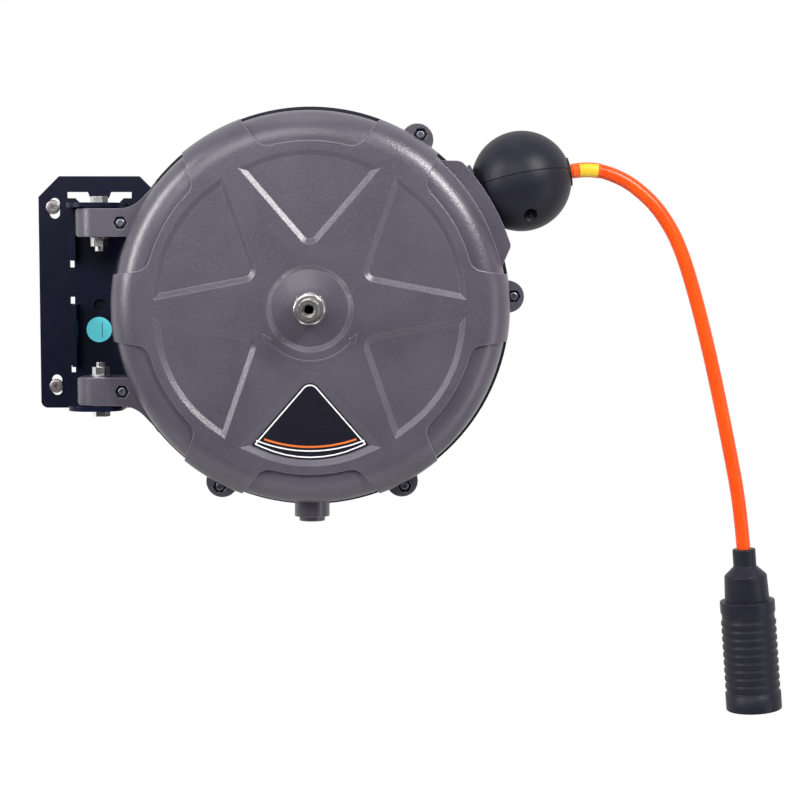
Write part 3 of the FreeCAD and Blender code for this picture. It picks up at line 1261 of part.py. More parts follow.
# Free hose and the band round its first stretch
route = [(ball_point[0] + x, ball_point[1] + y) for x, y in HOSE_ROUTE]
hose_radii = [spread_radius(*route[number - 1:number + 2]) for number in range(1, len(route) - 1)]
hose_edges = route_edges(route, hose_radii)
hose_length = sum(edge.Length for edge in hose_edges)
print("free hose", round(hose_length, 1), "mm, bends", [round(radius, 1) for radius in hose_radii])
piece("free_hose", HOUSING, solid("hose", swept(hose_edges, hose_r)))
first_run = hose_edges[0]
band_start = first_run.valueAt(first_run.FirstParameter + s.band_start.value)
band_path = [Part.LineSegment(band_start, first_run.lastVertex(True).Point).toShape(), hose_edges[1]]
band = swept(band_path, hose_r + s.band_thick.value).cut(swept(hose_edges[:3], hose_r))
piece("marker_band", HOUSING, solid("band", band))

# Grip sleeve and coupler, along the hose's last run
hose_end = route[-1]
before_end = route[-2]
end_turn = math.degrees(math.atan2(hose_end[1] - before_end[1], hose_end[0] - before_end[0]))
sleeve_turn = Rotation(Vector(0, 0, 1), end_turn).multiply(Rotation(Vector(0, 1, 0), 90))
sleeve_way = sleeve_turn.multVec(Vector(0, 0, 1))
sleeve_place = (
    hose_end[0] - s.tail_run * sleeve_way.x,
    hose_end[1] - s.tail_run * sleeve_way.y,
    0,
)


def on_sleeve(*things):
    """Things drawn along z from the sleeve's top, set on the hose's end."""
    return bundle(f"{things[0].Name}_on_sleeve", things, sleeve_place, sleeve_turn)


ferrule_radius = s.hose_radius + s.wall
sleeve_outline = [
    (s.hose_radius, 0),
    (s.neck_radius, 0, s.grip_round),
    (s.neck_radius, s.neck_long, s.grip_blend),
    (s.grip_radius - s.grip_round, s.cone_end, s.grip_blend),
    (s.grip_radius, s.collar_low),
    (s.grip_collar, s.collar_low, s.grip_round),
    (s.grip_collar, s.collar_high, s.grip_round),
    (s.rib_root, s.collar_high + s.grip_round),
]
for number in range(RIBS):
    low = s.rib_start + s.rib_pitch * number
    sleeve_outline += [
        (s.rib_root, low),
        (s.rib_radius, low + s.rib_slope),
        (s.rib_radius, low + s.rib_slope + s.rib_crest),
        (s.rib_root, low + s.rib_slope * 2 + s.rib_crest),
    ]
rib_end = s.rib_start + s.rib_pitch * RIBS
sleeve_outline += [
    (s.rib_root, rib_end + s.grip_round),
    (s.grip_end, rib_end + s.grip_blend),
    (s.grip_end, s.grip_long, s.grip_round),
    (s.grip_bore, s.grip_long),
    (s.grip_bore, s.tail_run + ferrule_radius / 2),
    (ferrule_radius, s.tail_run + ferrule_radius / 2),
    (ferrule_radius, s.ferrule_low),
    (s.hose_radius, s.ferrule_low),
]
piece("grip_sleeve", HOUSING, on_sleeve(revolved("sleeve", sleeve_outline)))
ferrule = tube("ferrule", s.hose_radius, ferrule_radius, s.ferrule_low, s.tail_run)
piece("hose_ferrule", HOUSING, on_sleeve(ferrule))
body_shoulder = s.tail_run + s.coupler_radius * 3
body_hex = hexagon("coupler_hex", s.coupler_flats, s.tail_run + s.coupler_radius,
                   s.tail_run + s.coupler_radius * 2)
barrel_start = s.body_end - s.coupler_depth
body_round = revolved("coupler_round", [
    (0, s.tail_run),
    (ferrule_radius, s.tail_run),
    (ferrule_radius, s.tail_run + s.coupler_radius * 2),
    (s.coupler_stop, s.tail_run + s.coupler_radius * 2),
    (s.coupler_stop, body_shoulder),
    (s.coupler_radius, body_shoulder),
    (s.coupler_radius, barrel_start),
    (s.coupler_feed, barrel_start),
    (s.coupler_feed, s.tail_run + s.coupler_radius),
    (0, s.tail_run + s.coupler_radius),
])
seal_level = s.body_end - s.coupler_seal_deep
seal_groove = tube("coupler_groove", s.coupler_bore, s.coupler_bore + ring_groove,
                   seal_level - ring_groove / 2, seal_level + ring_groove / 2)
piece("coupler_body", HOUSING, on_sleeve(fused("coupler_solid", body_round, body_hex)))
barrel_tube = tube("coupler_tube", s.coupler_bore, s.coupler_radius, barrel_start, s.body_end)
piece("coupler_barrel", HOUSING, on_sleeve(cut("coupler_barrel_cut", barrel_tube, seal_groove)))
piece("coupler_seal", HOUSING, on_sleeve(primitive(
    "Part::Torus", "coupler_ring", (0, 0, seal_level),
    Radius1=s.coupler_bore + s.ring_wire, Radius2=s.ring_wire)))
collar_top = s.body_end + s.slack - s.collar_long
coupler_collar = tube("coupler_ring_solid", s.coupler_radius + s.run_clear, s.coupler_collar_radius,
                      collar_top, s.body_end + s.slack)
piece("coupler_collar", HOUSING, on_sleeve(coupler_collar))
spring_mid = s.coupler_radius.value + WIRES_CLEAR * spring_wire
spring_room = (collar_top - body_shoulder).value - 2 * spring_wire - 2 * s.slack.value
coupler_coil = solid("coupler_coil", coil(spring_mid, spring_wire, spring_room, COUPLER_TURNS))
place(coupler_coil, (0, 0, body_shoulder + spring_wire + s.slack))
piece("coupler_spring", HOUSING, on_sleeve(coupler_coil))

doc.recompute()
for thing in doc.Objects:
    if "Invalid" in thing.State or "Error" in thing.State:
        raise RuntimeError(f"{thing.Label} did not build")
for label, thing in pieces.items():
    shape = thing.Shape
    if shape.isNull() or not shape.isValid() or not shape.Solids:
        raise RuntimeError(f"{label} is not a valid solid")

os.makedirs("parts", exist_ok=True)
for label, thing in pieces.items():
    thing.Shape.exportStep(f"parts/{label}.step")
    print(label, len(thing.Shape.Solids), "solids", round(thing.Shape.Volume / 1000, 2), "cm3")
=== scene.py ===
"""Looks of a wall-mounted hose reel with a spring-driven drum.

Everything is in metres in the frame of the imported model: +Z up, the wall at y = 0 and the reel's
face towards -Y. Places on the housing are given as seen from the front: u to the right, v upwards
and w towards the viewer, from the housing's axis and parting plane. Sizes in capitals are in
millimetres unless their heading says otherwise.
"""
import json
import math

import bmesh
import bpy
from mathutils import Matrix, Vector

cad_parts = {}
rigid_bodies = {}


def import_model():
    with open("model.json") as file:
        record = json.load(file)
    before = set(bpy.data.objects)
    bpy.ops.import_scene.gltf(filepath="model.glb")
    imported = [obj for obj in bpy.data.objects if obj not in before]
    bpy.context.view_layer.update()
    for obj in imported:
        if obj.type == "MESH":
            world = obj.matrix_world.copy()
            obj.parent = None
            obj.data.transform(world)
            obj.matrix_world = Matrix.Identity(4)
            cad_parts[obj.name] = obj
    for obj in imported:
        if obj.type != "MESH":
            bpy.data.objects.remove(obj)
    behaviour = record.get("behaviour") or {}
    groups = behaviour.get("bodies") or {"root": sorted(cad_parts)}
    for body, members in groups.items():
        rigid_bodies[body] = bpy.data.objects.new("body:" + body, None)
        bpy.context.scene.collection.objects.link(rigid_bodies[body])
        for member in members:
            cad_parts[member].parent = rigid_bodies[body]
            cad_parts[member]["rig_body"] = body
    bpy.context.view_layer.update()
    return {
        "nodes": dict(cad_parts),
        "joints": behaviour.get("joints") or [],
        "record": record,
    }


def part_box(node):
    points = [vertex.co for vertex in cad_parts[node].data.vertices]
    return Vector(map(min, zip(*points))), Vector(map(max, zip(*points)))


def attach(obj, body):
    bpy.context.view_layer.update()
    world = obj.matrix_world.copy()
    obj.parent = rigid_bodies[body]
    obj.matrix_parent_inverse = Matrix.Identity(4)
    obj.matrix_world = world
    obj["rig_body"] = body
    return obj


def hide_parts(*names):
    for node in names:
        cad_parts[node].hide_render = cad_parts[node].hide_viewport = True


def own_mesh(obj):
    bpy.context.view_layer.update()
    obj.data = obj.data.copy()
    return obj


bl_info = {
    "name": "Hose reel looks",
    "version": (1, 0, 0),
    "blender": (4, 5, 0),
    "location": "View3D > Sidebar > Hose Reel",
    "description": "Dresses a packed hose reel with its finishes, hose, label and studio",
    "category": "Object",
}

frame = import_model()
JOINTS = {joint["name"]: joint for joint in frame["joints"]}
SLOTS = {part["node"]: part["material_slot"] for part in frame["record"]["subparts"]}
AXIS = Vector(JOINTS["drum_spin"]["pos_m"])
MM = 0.001

# How near corners are merged, and how far an added flat piece sinks into what it lies on
MERGE = 0.004
SUNK = 0.05

# The housing's own sizes
FACE = 48.0
PANEL_FLOOR = 45.7
PANEL_SIDE = 51.3
PANEL_CORNER = 114.3
PANEL_TIP = 55.0
PANEL_CROWN = 137.1
PANEL_ARC = 107.6


def on_housing(u, v, w=0.0):
    """A point of the housing's front view, in millimetres, in the frame."""
    return AXIS + Vector((u, -w, v)) * MM


def way_of(joint):
    """The direction of a joint's axis."""
    return Vector(JOINTS[joint]["axis"]).normalized()


class Value:
    """A node's output, with the arithmetic that adds Math nodes."""

    def __init__(self, nodes, socket):
        self.nodes = nodes
        self.socket = socket

    def __add__(self, other):
        return self.nodes.maths("ADD", self, other)

    __radd__ = __add__

    def __sub__(self, other):
        return self.nodes.maths("SUBTRACT", self, other)

    def __rsub__(self, other):
        return self.nodes.maths("SUBTRACT", other, self)

    def __mul__(self, other):
        return self.nodes.maths("MULTIPLY", self, other)

    __rmul__ = __mul__


class Nodes:
    """A node tree under construction."""

    def __init__(self, tree):
        self.tree = tree
        tree.nodes.clear()

    def node(self, kind, settings=None, output=0, **inputs):
        """Add a node, its settings first and then its sockets, and give one of its outputs."""
        made = self.tree.nodes.new(kind)
        for name, setting in (settings or {}).items():
            setattr(made, name, setting)
        for name, value in inputs.items():
            self.feed(find_socket(made.inputs, name), value)
        return Value(self, find_socket(made.outputs, output)) if len(made.outputs) else None

    def feed(self, socket, value):
        """Link a value to a socket or set the socket's own value; a colour gets its alpha here."""
        if isinstance(value, Value):
            self.tree.links.new(value.socket, socket)
        elif hasattr(value, "__len__") and len(value) == 3 and len(socket.default_value) == 4:
            socket.default_value = (*value, 1)
        else:
            socket.default_value = value

    def maths(self, operation, first, second):
        """A Math node on two values."""
        return self.node("ShaderNodeMath", {"operation": operation}, Value=first, Value_001=second)

    def ray(self, kind):
        """1 for rays of a kind, such as Camera, and 0 for the others."""
        return self.node("ShaderNodeLightPath", output=f"Is_{kind}_Ray")


def find_socket(sockets, name):
    """A socket by number, name or identifier; an underscore in a name stands for a space."""
    if isinstance(name, int):
        return sockets[name]
    for socket in sockets:
        if name in (socket.identifier, socket.name.replace(" ", "_")) and socket.enabled:
            return socket
    raise KeyError(name)


class Finish(Nodes):
    """A material under construction."""

    def __init__(self, name):
        self.material = bpy.data.materials.new(name)
        self.material.use_nodes = True
        super().__init__(self.material.node_tree)

    def smooth(self, value, low, high):
        """A soft step from 0 at low to 1 at high."""
        return self.node("ShaderNodeMapRange", {"interpolation_type": "SMOOTHSTEP"},
                         Value=value, From_Min=low, From_Max=high)

    def mix(self, factor, first, second):
        """A colour between two others."""
        return self.node("ShaderNodeMix", {"data_type": "RGBA"}, "Result_Color",
                         Factor_Float=factor, A_Color=first, B_Color=second)

    def noise(self, size, detail, squeeze=None):
        """Noise with features of about size millimetres, drawn out on axes where squeeze is below 1."""
        where = self.node("ShaderNodeTexCoord", output="Object")
        if squeeze:
            where = self.node("ShaderNodeMapping", Vector=where, Scale=squeeze)
        return self.node("ShaderNodeTexNoise", Vector=where, Scale=1 / (size * MM), Detail=detail)

    def bump(self, height, depth, strength, over=None):
        """A bump of the given depth in millimetres, over another normal if one is given."""
        inputs = {} if over is None else {"Normal": over}
        return self.node("ShaderNodeBump", Height=height, Strength=strength, Distance=depth * MM, **inputs)

    def soft_edge(self, radius):
        """A normal that rounds the edges by a radius in millimetres."""
        return self.node("ShaderNodeBevel", {"samples": 6}, Radius=radius * MM)

    def shader(self, **inputs):
        """The surface shader, joined to the material's output; gives the material."""
        surface = self.node("ShaderNodeBsdfPrincipled", **inputs)
        self.node("ShaderNodeOutputMaterial", Surface=surface)
        return self.material


def toned(colour, share, lift=0.0):
    """A colour times a share, lifted a little towards grey."""
    return tuple(channel * share + lift for channel in colour)


def moulded_shell(name, colour, roughness, edge=0.6, shine=1.7):
    """Moulded shell with a fine satin grain, slightly uneven in tone, with its edges painted pale as a
    painted highlight.
    """
    f = Finish(name)
    cloud = f.noise(size=45, detail=3)
    grit = f.noise(size=0.55, detail=2)
    fleck = f.noise(size=1.9, detail=3)
    tone = f.mix(f.smooth(cloud, low=0.3, high=0.7), toned(colour, 0.9), toned(colour, 1.1))
    tone = f.mix(f.smooth(fleck, low=0.5, high=0.72) * 0.35, tone, toned(colour, 1.5))
    rounded_edge = f.soft_edge(edge)
    facing = f.node("ShaderNodeVectorMath", {"operation": "DOT_PRODUCT"}, "Value", Vector=rounded_edge,
                    Vector_001=f.node("ShaderNodeNewGeometry", output="Normal"))
    # Painted highlight: where the rounded normal turns from the face, the colour is made pale, standing in
    # for light caught by the edges.
    edge_highlight = f.smooth(facing, low=0.996, high=0.95)
    tone = f.mix(edge_highlight * 0.6, tone, toned(colour, 3.6))
    normal = f.bump(grit * 0.4 + fleck * 1.2, depth=0.17, strength=0.8, over=rounded_edge)
    return f.shader(Base_Color=tone, Roughness=fleck * 0.12 + roughness, Normal=normal, IOR=shine)


def black_paint(name, colour, roughness):
    """Painted sheet steel with faint flow marks and a little dust."""
    f = Finish(name)
    flow = f.noise(size=6, detail=3)
    dust = f.noise(size=0.8, detail=4)
    tone = f.mix(f.smooth(dust, low=0.55, high=0.8) * 0.35, colour, toned(colour, 1.8, 0.002))
    normal = f.bump(flow * 0.7 + dust * 0.3, depth=0.06, strength=0.4, over=f.soft_edge(0.5))
    return f.shader(Base_Color=tone, Roughness=flow * 0.14 + roughness, Normal=normal, IOR=1.31)


def rubber(name, colour, roughness):
    """Moulded rubber: a fine pebbled skin with lighter scuffs."""
    f = Finish(name)
    skin = f.noise(size=0.7, detail=2)
    scuff = f.smooth(f.noise(size=14, detail=4), low=0.56, high=0.8)
    tone = f.mix(scuff * 0.6, colour, toned(colour, 1.6, 0.006))
    matt = scuff * 0.08 + skin * 0.08 + roughness
    normal = f.bump(skin, depth=0.04, strength=0.6, over=f.soft_edge(0.4))
    return f.shader(Base_Color=tone, Roughness=matt, Normal=normal, IOR=1.34)


def bright_metal(name, colour, roughness):
    """Plated or turned metal with fine tool marks and a little tarnish."""
    f = Finish(name)
    marks = f.noise(size=0.35, detail=2, squeeze=(1.0, 0.15, 1.0))
    tarnish = f.noise(size=5, detail=4)
    tone = f.mix(f.smooth(tarnish, low=0.5, high=0.8) * 0.4, colour, toned(colour, 0.72))
    normal = f.bump(marks, depth=0.01, strength=0.35, over=f.soft_edge(0.3))
    return f.shader(Base_Color=tone, Roughness=tarnish * 0.12 + marks * 0.05 + roughness, Metallic=1.0,
                    Normal=normal)


def plain_plastic(name, colour, roughness):
    """Plain moulded plastic."""
    f = Finish(name)
    cloud = f.noise(size=9, detail=3)
    skin = f.noise(size=0.6, detail=2)
    tone = f.mix(f.smooth(cloud, low=0.35, high=0.7) * 0.5, colour, toned(colour, 0.8))
    normal = f.bump(skin, depth=0.02, strength=0.5)
    return f.shader(Base_Color=tone, Roughness=skin * 0.1 + roughness, Normal=normal)


def hose_wall(name, colour, pale):
    """Glossy translucent hose: deep colour with faint lengthwise drawing marks."""
    f = Finish(name)
    cloud = f.noise(size=30, detail=2)
    drawn = f.noise(size=1.2, detail=3, squeeze=(1.0, 1.0, 0.06))
    faint = f.smooth(cloud, low=0.3, high=0.7) * 0.35 + f.smooth(drawn, low=0.5, high=0.8) * 0.15
    tone = f.mix(faint, colour, pale)
    normal = f.bump(drawn, depth=0.02, strength=0.35)
    return f.shader(Base_Color=tone, Roughness=drawn * 0.1 + 0.26, Normal=normal, IOR=1.4,
                    Subsurface_Weight=0.2, Subsurface_Radius=(0.006, 0.0015, 0.0003), Subsurface_Scale=1.0)


def printed(name, colour, roughness=0.3, painted_glow=0.0):
    """Printed film with slight mottling; one may be given a little glow, a painted light that brightens it
    where the lamps leave it dim.
    """
    f = Finish(name)
    mottle = f.noise(size=2.5, detail=3)
    tone = f.mix(f.smooth(mottle, low=0.4, high=0.8) * 0.3, colour, toned(colour, 0.85, 0.01))
    normal = f.bump(mottle, depth=0.01, strength=0.3)
    return f.shader(Base_Color=tone, Roughness=mottle * 0.08 + roughness, Normal=normal,
                    Coat_Weight=0.2, Coat_Roughness=0.35, Emission_Color=tone, Emission_Strength=painted_glow)


class ReelFinishes(bpy.types.PropertyGroup):
    """Colours that a user may change."""

    shell: bpy.props.FloatVectorProperty(
        name="Shell", description="Colour of the moulded housing", subtype="COLOR", size=3,
        default=(0.067, 0.06, 0.082), min=0, max=1)
    hose: bpy.props.FloatVectorProperty(
        name="Hose", description="Colour of the hose wall", subtype="COLOR", size=3,
        default=(0.87, 0.066, 0.002), min=0, max=1)
    hose_pale: bpy.props.FloatVectorProperty(
        name="Hose, pale", description="Paler colour in the hose wall", subtype="COLOR", size=3,
        default=(0.98, 0.11, 0.006), min=0, max=1)
    rubber: bpy.props.FloatVectorProperty(
        name="Rubber", description="Colour of the ball stop and grip", subtype="COLOR", size=3,
        default=(0.01, 0.0095, 0.018), min=0, max=1)
    steel: bpy.props.FloatVectorProperty(
        name="Painted steel", description="Colour of plate and bracket", subtype="COLOR", size=3,
        default=(0.0015, 0.0025, 0.015), min=0, max=1)
    sticker: bpy.props.FloatVectorProperty(
        name="Sticker", description="Colour of the round sticker", subtype="COLOR", size=3,
        default=(0.13, 0.8, 0.9), min=0, max=1)


class ReelSizes(bpy.types.PropertyGroup):
    """Sizes of the pieces that the scene adds."""

    hose_diameter: bpy.props.FloatProperty(
        name="Hose", description="Outer diameter of the hose", default=0.012, min=0.004, max=0.03,
        unit="LENGTH")
    hose_length: bpy.props.FloatProperty(
        name="Free hose", description="Length of the hose outside the ball stop", default=0.42, min=0.1,
        max=2, unit="LENGTH")
    label_border: bpy.props.FloatProperty(
        name="Label border", description="Width of the label's pale line", default=0.0011, min=0, max=0.01,
        unit="LENGTH")
    sticker_radius: bpy.props.FloatProperty(
        name="Sticker radius", description="Radius of the round sticker", default=0.011, min=0.002, max=0.03,
        unit="LENGTH")
    arrow_radius: bpy.props.FloatProperty(
        name="Arrow radius", description="Radius of the raised arrow round the hub", default=0.0445, min=0.02,
        max=0.08, unit="LENGTH")
    screw_head: bpy.props.FloatProperty(
        name="Wall screw head", description="Radius of the wall screws' heads", default=0.0062, min=0.002,
        max=0.02, unit="LENGTH")


finishes = {}


def make_finishes(colours):
    """Every finish of the reel, by the record's material slot or by its own name."""
    finishes.update(
        grey_shell=moulded_shell("satin_grey_shell", colours.shell, roughness=0.28, edge=1.0, shine=1.66),
        black_rubber=rubber("black_rubber_skin", colours.rubber, roughness=0.42),
        plate=black_paint("black_plate_paint", colours.steel, roughness=0.33),
        bracket=black_paint("black_bracket_paint", toned(colours.steel, 1.2), roughness=0.3),
        chrome=bright_metal("chrome_plate", (0.84, 0.83, 0.82), roughness=0.16),
        zinc=bright_metal("zinc_plate", (0.55, 0.56, 0.6), roughness=0.3),
        brass=bright_metal("turned_brass", (0.72, 0.52, 0.24), roughness=0.2),
        spring_steel=bright_metal("blued_spring", (0.24, 0.26, 0.32), roughness=0.28),
        bearing=plain_plastic("bearing_plastic", (0.6, 0.58, 0.52), roughness=0.4),
        drum_plastic=plain_plastic("drum_plastic", (0.05, 0.05, 0.056), roughness=0.5),
        black_plastic=moulded_shell("dark_outlet_plastic", (0.05, 0.048, 0.06), roughness=0.34),
        orange_hose=hose_wall("orange_hose_wall", colours.hose, colours.hose_pale),
        band_film=hose_wall("band_film", (0.92, 0.11, 0.008), (0.96, 0.16, 0.02)),
        yellow_band=printed("yellow_patch", (0.86, 0.55, 0.02)),
        label_field=printed("label_field", (0.006, 0.005, 0.012), roughness=0.26),
        label_line=printed("label_line", (0.86, 0.86, 0.88)),
        label_accent=printed("label_accent", (0.72, 0.16, 0.03)),
        # The sticker's glow is painted light that lifts it out of the shade it sits in.
        sticker=printed("sticker_film", colours.sticker, roughness=0.35, painted_glow=0.2),
        sticker_ink=printed("sticker_ink", (0.01, 0.06, 0.07), roughness=0.35),
        washer_black=plain_plastic("black_washer", (0.012, 0.012, 0.016), roughness=0.4),
        # Painted shade: a near-black finish for deep pockets and the hole round the hub shaft.
        pocket_dark=plain_plastic("dark_pocket", (0.012, 0.012, 0.015), roughness=0.55),
        dull_screw=bright_metal("dull_screw", (0.3, 0.27, 0.28), roughness=0.36),
    )


def new_object(name, data):
    """An object in the scene."""
    thing = bpy.data.objects.new(name, data)
    bpy.context.scene.collection.objects.link(thing)
    return thing


def new_piece(name, mesh, body, materials=(), replaced=()):
    """A mesh as a piece of the object that rides on a body."""
    piece = new_object(name, mesh)
    for material in materials:
        mesh.materials.append(material)
    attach(piece, body)
    if replaced:
        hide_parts(*replaced)
    return piece


def new_mesh(name, corners, edges=(), faces=()):
    """A mesh from its corners and how they are joined."""
    mesh = bpy.data.meshes.new(name)
    mesh.from_pydata(corners, edges, faces)
    return mesh


def mesh_from(name, work):
    """A mesh from a bmesh, which is freed."""
    mesh = bpy.data.meshes.new(name)
    work.to_mesh(mesh)
    work.free()
    return mesh


def plain_mesh(thing):
    """The mesh that an object's curve or modifiers give."""
    bpy.context.view_layer.update()
    return bpy.data.meshes.new_from_object(thing.evaluated_get(bpy.context.evaluated_depsgraph_get()))


def shade(mesh, crease):
    """Smooth faces, sharp where they meet at more than crease degrees."""
    mesh.polygons.foreach_set("use_smooth", [True] * len(mesh.polygons))
    mesh.set_sharp_from_angle(angle=math.radians(crease))


def smooth_copy(node, crease, finish=None):
    """A merged and smoothed copy of a frame part, standing for it, in its slot's finish or another."""
    work = bmesh.new()
    work.from_mesh(frame["nodes"][node].data)
    bmesh.ops.remove_doubles(work, verts=work.verts, dist=MERGE * MM)
    bmesh.ops.dissolve_degenerate(work, edges=work.edges, dist=MERGE * MM)
    corners = [vertex.co.copy() for vertex in work.verts]
    work.verts.index_update()
    faces = [[vertex.index for vertex in face.verts] for face in work.faces]
    work.free()
    mesh = new_mesh(f"{node}_skin", corners, faces=faces)
    shade(mesh, crease)
    slot = SLOTS[node]
    body = frame["nodes"][node]["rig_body"]
    return new_piece(f"{node}_skin", mesh, body, [finishes[finish or slot]], [node])


def dress(node):
    """Its slot's finish on a frame part that stays as it is; gives the part."""
    part = frame["nodes"][node]
    part.data.materials.clear()
    part.data.materials.append(finishes[SLOTS[node]])
    return part


def shortens(node):
    """Give a spring its own copy of its mesh."""
    spring = frame["nodes"][node]
    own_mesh(spring)


def stacked(name, outlines, levels, place=on_housing):
    """A closed mesh from flat outlines of equal count, one above the other, and the band of each face.

    Place turns (x, y, level) into the frame. Band 0 is between the first two outlines and has the
    bottom, and the top has the last number.
    """
    corners = [place(x, y, level) for outline, level in zip(outlines, levels) for x, y in outline]
    count = len(outlines[0])
    last = len(outlines) - 1
    faces = [list(range(count))[::-1], [last * count + number for number in range(count)]]
    bands = [0, last]
    for band in range(last):
        for number in range(count):
            here = band * count + number
            after = band * count + (number + 1) % count
            faces.append([here, after, after + count, here + count])
            bands.append(band)
    mesh = new_mesh(name, corners, faces=faces)
    work = bmesh.new()
    work.from_mesh(mesh)
    bmesh.ops.recalc_face_normals(work, faces=work.faces)
    work.to_mesh(mesh)
    work.free()
    return mesh, bands


def extruded(name, outline, low, high, place=on_housing):
    """A flat outline given thickness between two levels."""
    return stacked(name, [outline, outline], [low, high], place)[0]


def along(points, start, end, steps):
    """Places and directions between two distances along a line of points."""
    found = []
    for step in range(steps + 1):
        left = start + (end - start) * step / steps
        for first, second in zip(points, points[1:]):
            run = (second - first).length
            if left <= run:
                break
            left -= run
        way = (second - first).normalized()
        found.append((first + way * left, way))
    return found


class Pattern(Nodes):
    """A Geometry Nodes tree under construction, with named inputs."""

    def __init__(self, name):
        super().__init__(bpy.data.node_groups.new(name, "GeometryNodeTree"))
        self.tree.interface.new_socket("Geometry", in_out="OUTPUT", socket_type="NodeSocketGeometry")
        self.ask("Geometry", "Geometry")

    def ask(self, name, kind):
        """Add a named input to the tree and give its identifier."""
        return self.tree.interface.new_socket(
            name, in_out="INPUT", socket_type=f"NodeSocket{kind}").identifier

    def given(self, name):
        """The value of a named input."""
        return self.node("NodeGroupInput", output=name)

    def end(self, geometry, material):
        """Realize, set the material and join to the tree's output."""
        real = self.node("GeometryNodeRealizeInstances", Geometry=geometry)
        dressed = self.node("GeometryNodeSetMaterial", Geometry=real, Material=material)
        self.node("NodeGroupOutput", Geometry=dressed)

    def grow(self, mesh, values, name):
        """Run the tree on a mesh with values by input identifier, and give a plain mesh."""
        holder = new_object(f"{name}_holder", mesh)
        modifier = holder.modifiers.new("grow", "NODES")
        modifier.node_group = self.tree
        for identifier, value in values.items():
            modifier[identifier] = value
        result = plain_mesh(holder)
        result.name = name
        bpy.data.objects.remove(holder)
        return result


# Camera: place and far end in metres, turns in degrees, focal length in pixels of the photograph
CAMERA_PLACE = (0.2392, -1.7613, 0.0479)
CAMERA_YAW = 0.73
CAMERA_PITCH = 4.63
CAMERA_FOCAL = 2007.0
CAMERA_FAR = 50.0
PICTURE = 800.0
SENSOR = 36.0

# What reflections see, by a ray's direction along y: dark in front of the reel and white behind it
DARK_FROM = -0.35
WHITE_FROM = 0.25
DARK_STRENGTH = 0.05
AMBIENT = 0.2

# The floor, in metres, with its grey and how much of it is white to the camera
FLOOR_LEVEL = -0.95
FLOOR_RADIUS = 1.5
FLOOR_GREY = 0.8
FLOOR_WHITE = 0.75

# Lamps: name, turn about the reel's axis and lean in degrees, size in metres, watts; distance in metres
LAMPS = (
    ("left", 156, 63, (0.22, 1.1), 23),
    ("right", 45, 52, (0.16, 0.6), 24),
    ("front", 115, 30, (0.8, 0.8), 10),
    ("top", 92, 78, (1.2, 0.4), 2.5),
    ("below", 262, 70, (1.2, 0.5), 3),
    ("far_right", 345, 62, (0.4, 1.2), 5),
)
LAMP_DISTANCE = 1.7


class REEL_OT_stage(bpy.types.Operator):
    """Camera, lamps, background and floor"""

    bl_idname = "reel.stage"
    bl_label = "Stage"

    def execute(self, context):
        scene = context.scene
        scene.view_settings.view_transform = "Standard"
        self.camera(scene)
        self.world(scene)
        self.floor()
        for lamp in LAMPS:
            self.lamp(*lamp)
        return {"FINISHED"}

    @staticmethod
    def camera(scene):
        """The camera at the photograph's place and angle."""
        data = bpy.data.cameras.new("camera")
        data.sensor_width = SENSOR
        data.lens = CAMERA_FOCAL / PICTURE * SENSOR
        data.clip_end = CAMERA_FAR
        camera = new_object("camera", data)
        yaw = math.radians(CAMERA_YAW)
        pitch = math.radians(CAMERA_PITCH)
        ahead = Vector((math.sin(yaw) * math.cos(pitch), math.cos(yaw) * math.cos(pitch), -math.sin(pitch)))
        camera.rotation_mode = "QUATERNION"
        camera.rotation_quaternion = ahead.to_track_quat("-Z", "Y")
        camera.location = CAMERA_PLACE
        scene.camera = camera

    @staticmethod
    def world(scene):
        """White to the camera, white behind the reel in reflections, and a plain grey for light."""
        world = bpy.data.worlds.new("studio")
        world.use_nodes = True
        sky = Nodes(world.node_tree)
        direction = sky.node("ShaderNodeTexCoord", output="Generated")
        backwards = sky.node("ShaderNodeSeparateXYZ", output="Y", Vector=direction)
        behind = sky.node("ShaderNodeMapRange", Value=backwards, From_Min=DARK_FROM, From_Max=WHITE_FROM,
                          To_Min=DARK_STRENGTH, To_Max=1.0)
        light = (behind - AMBIENT) * sky.ray("Glossy") + AMBIENT
        seen = sky.maths("MAXIMUM", sky.ray("Camera"), sky.ray("Transmission"))
        background = sky.node("ShaderNodeBackground", Color=(1, 1, 1),
                              Strength=sky.maths("MAXIMUM", light, seen))
        sky.node("ShaderNodeOutputWorld", Surface=background)
        scene.world = world

    @staticmethod
    def floor():
        """A pale round floor below the reel; to the camera it is nearly as white as the background."""
        work = bmesh.new()
        bmesh.ops.create_circle(work, cap_ends=True, segments=96, radius=FLOOR_RADIUS)
        for vertex in work.verts:
            vertex.co += Vector((AXIS.x, AXIS.y, FLOOR_LEVEL))
        floor = new_object("floor", mesh_from("floor", work))
        f = Finish("pale_floor")
        matt = f.node("ShaderNodeBsdfDiffuse", Color=(FLOOR_GREY, FLOOR_GREY, FLOOR_GREY))
        white = f.node("ShaderNodeEmission", Color=(1, 1, 1))
        both = f.node("ShaderNodeMixShader", Fac=f.ray("Camera") * FLOOR_WHITE, Shader=matt, Shader_001=white)
        f.node("ShaderNodeOutputMaterial", Surface=both)
        floor.data.materials.append(f.material)

    @staticmethod
    def lamp(name, turn, lean, size, power):
        """A soft box that faces the reel, leaning from the camera's side towards its turn about the axis."""
        data = bpy.data.lights.new(name, "AREA")
        data.shape = "RECTANGLE"
        data.size, data.size_y = size
        data.energy = power
        turn, lean = math.radians(turn), math.radians(lean)
        outwards = Vector((math.cos(turn), 0, math.sin(turn)))
        ahead = outwards * math.sin(lean) + Vector((0, -math.cos(lean), 0))
        across = Vector((-math.sin(turn), 0, math.cos(turn)))
        facing = Matrix((across.cross(ahead), across, ahead)).transposed().to_4x4()
        new_object(name, data).matrix_world = Matrix.Translation(AXIS + ahead * LAMP_DISTANCE) @ facing


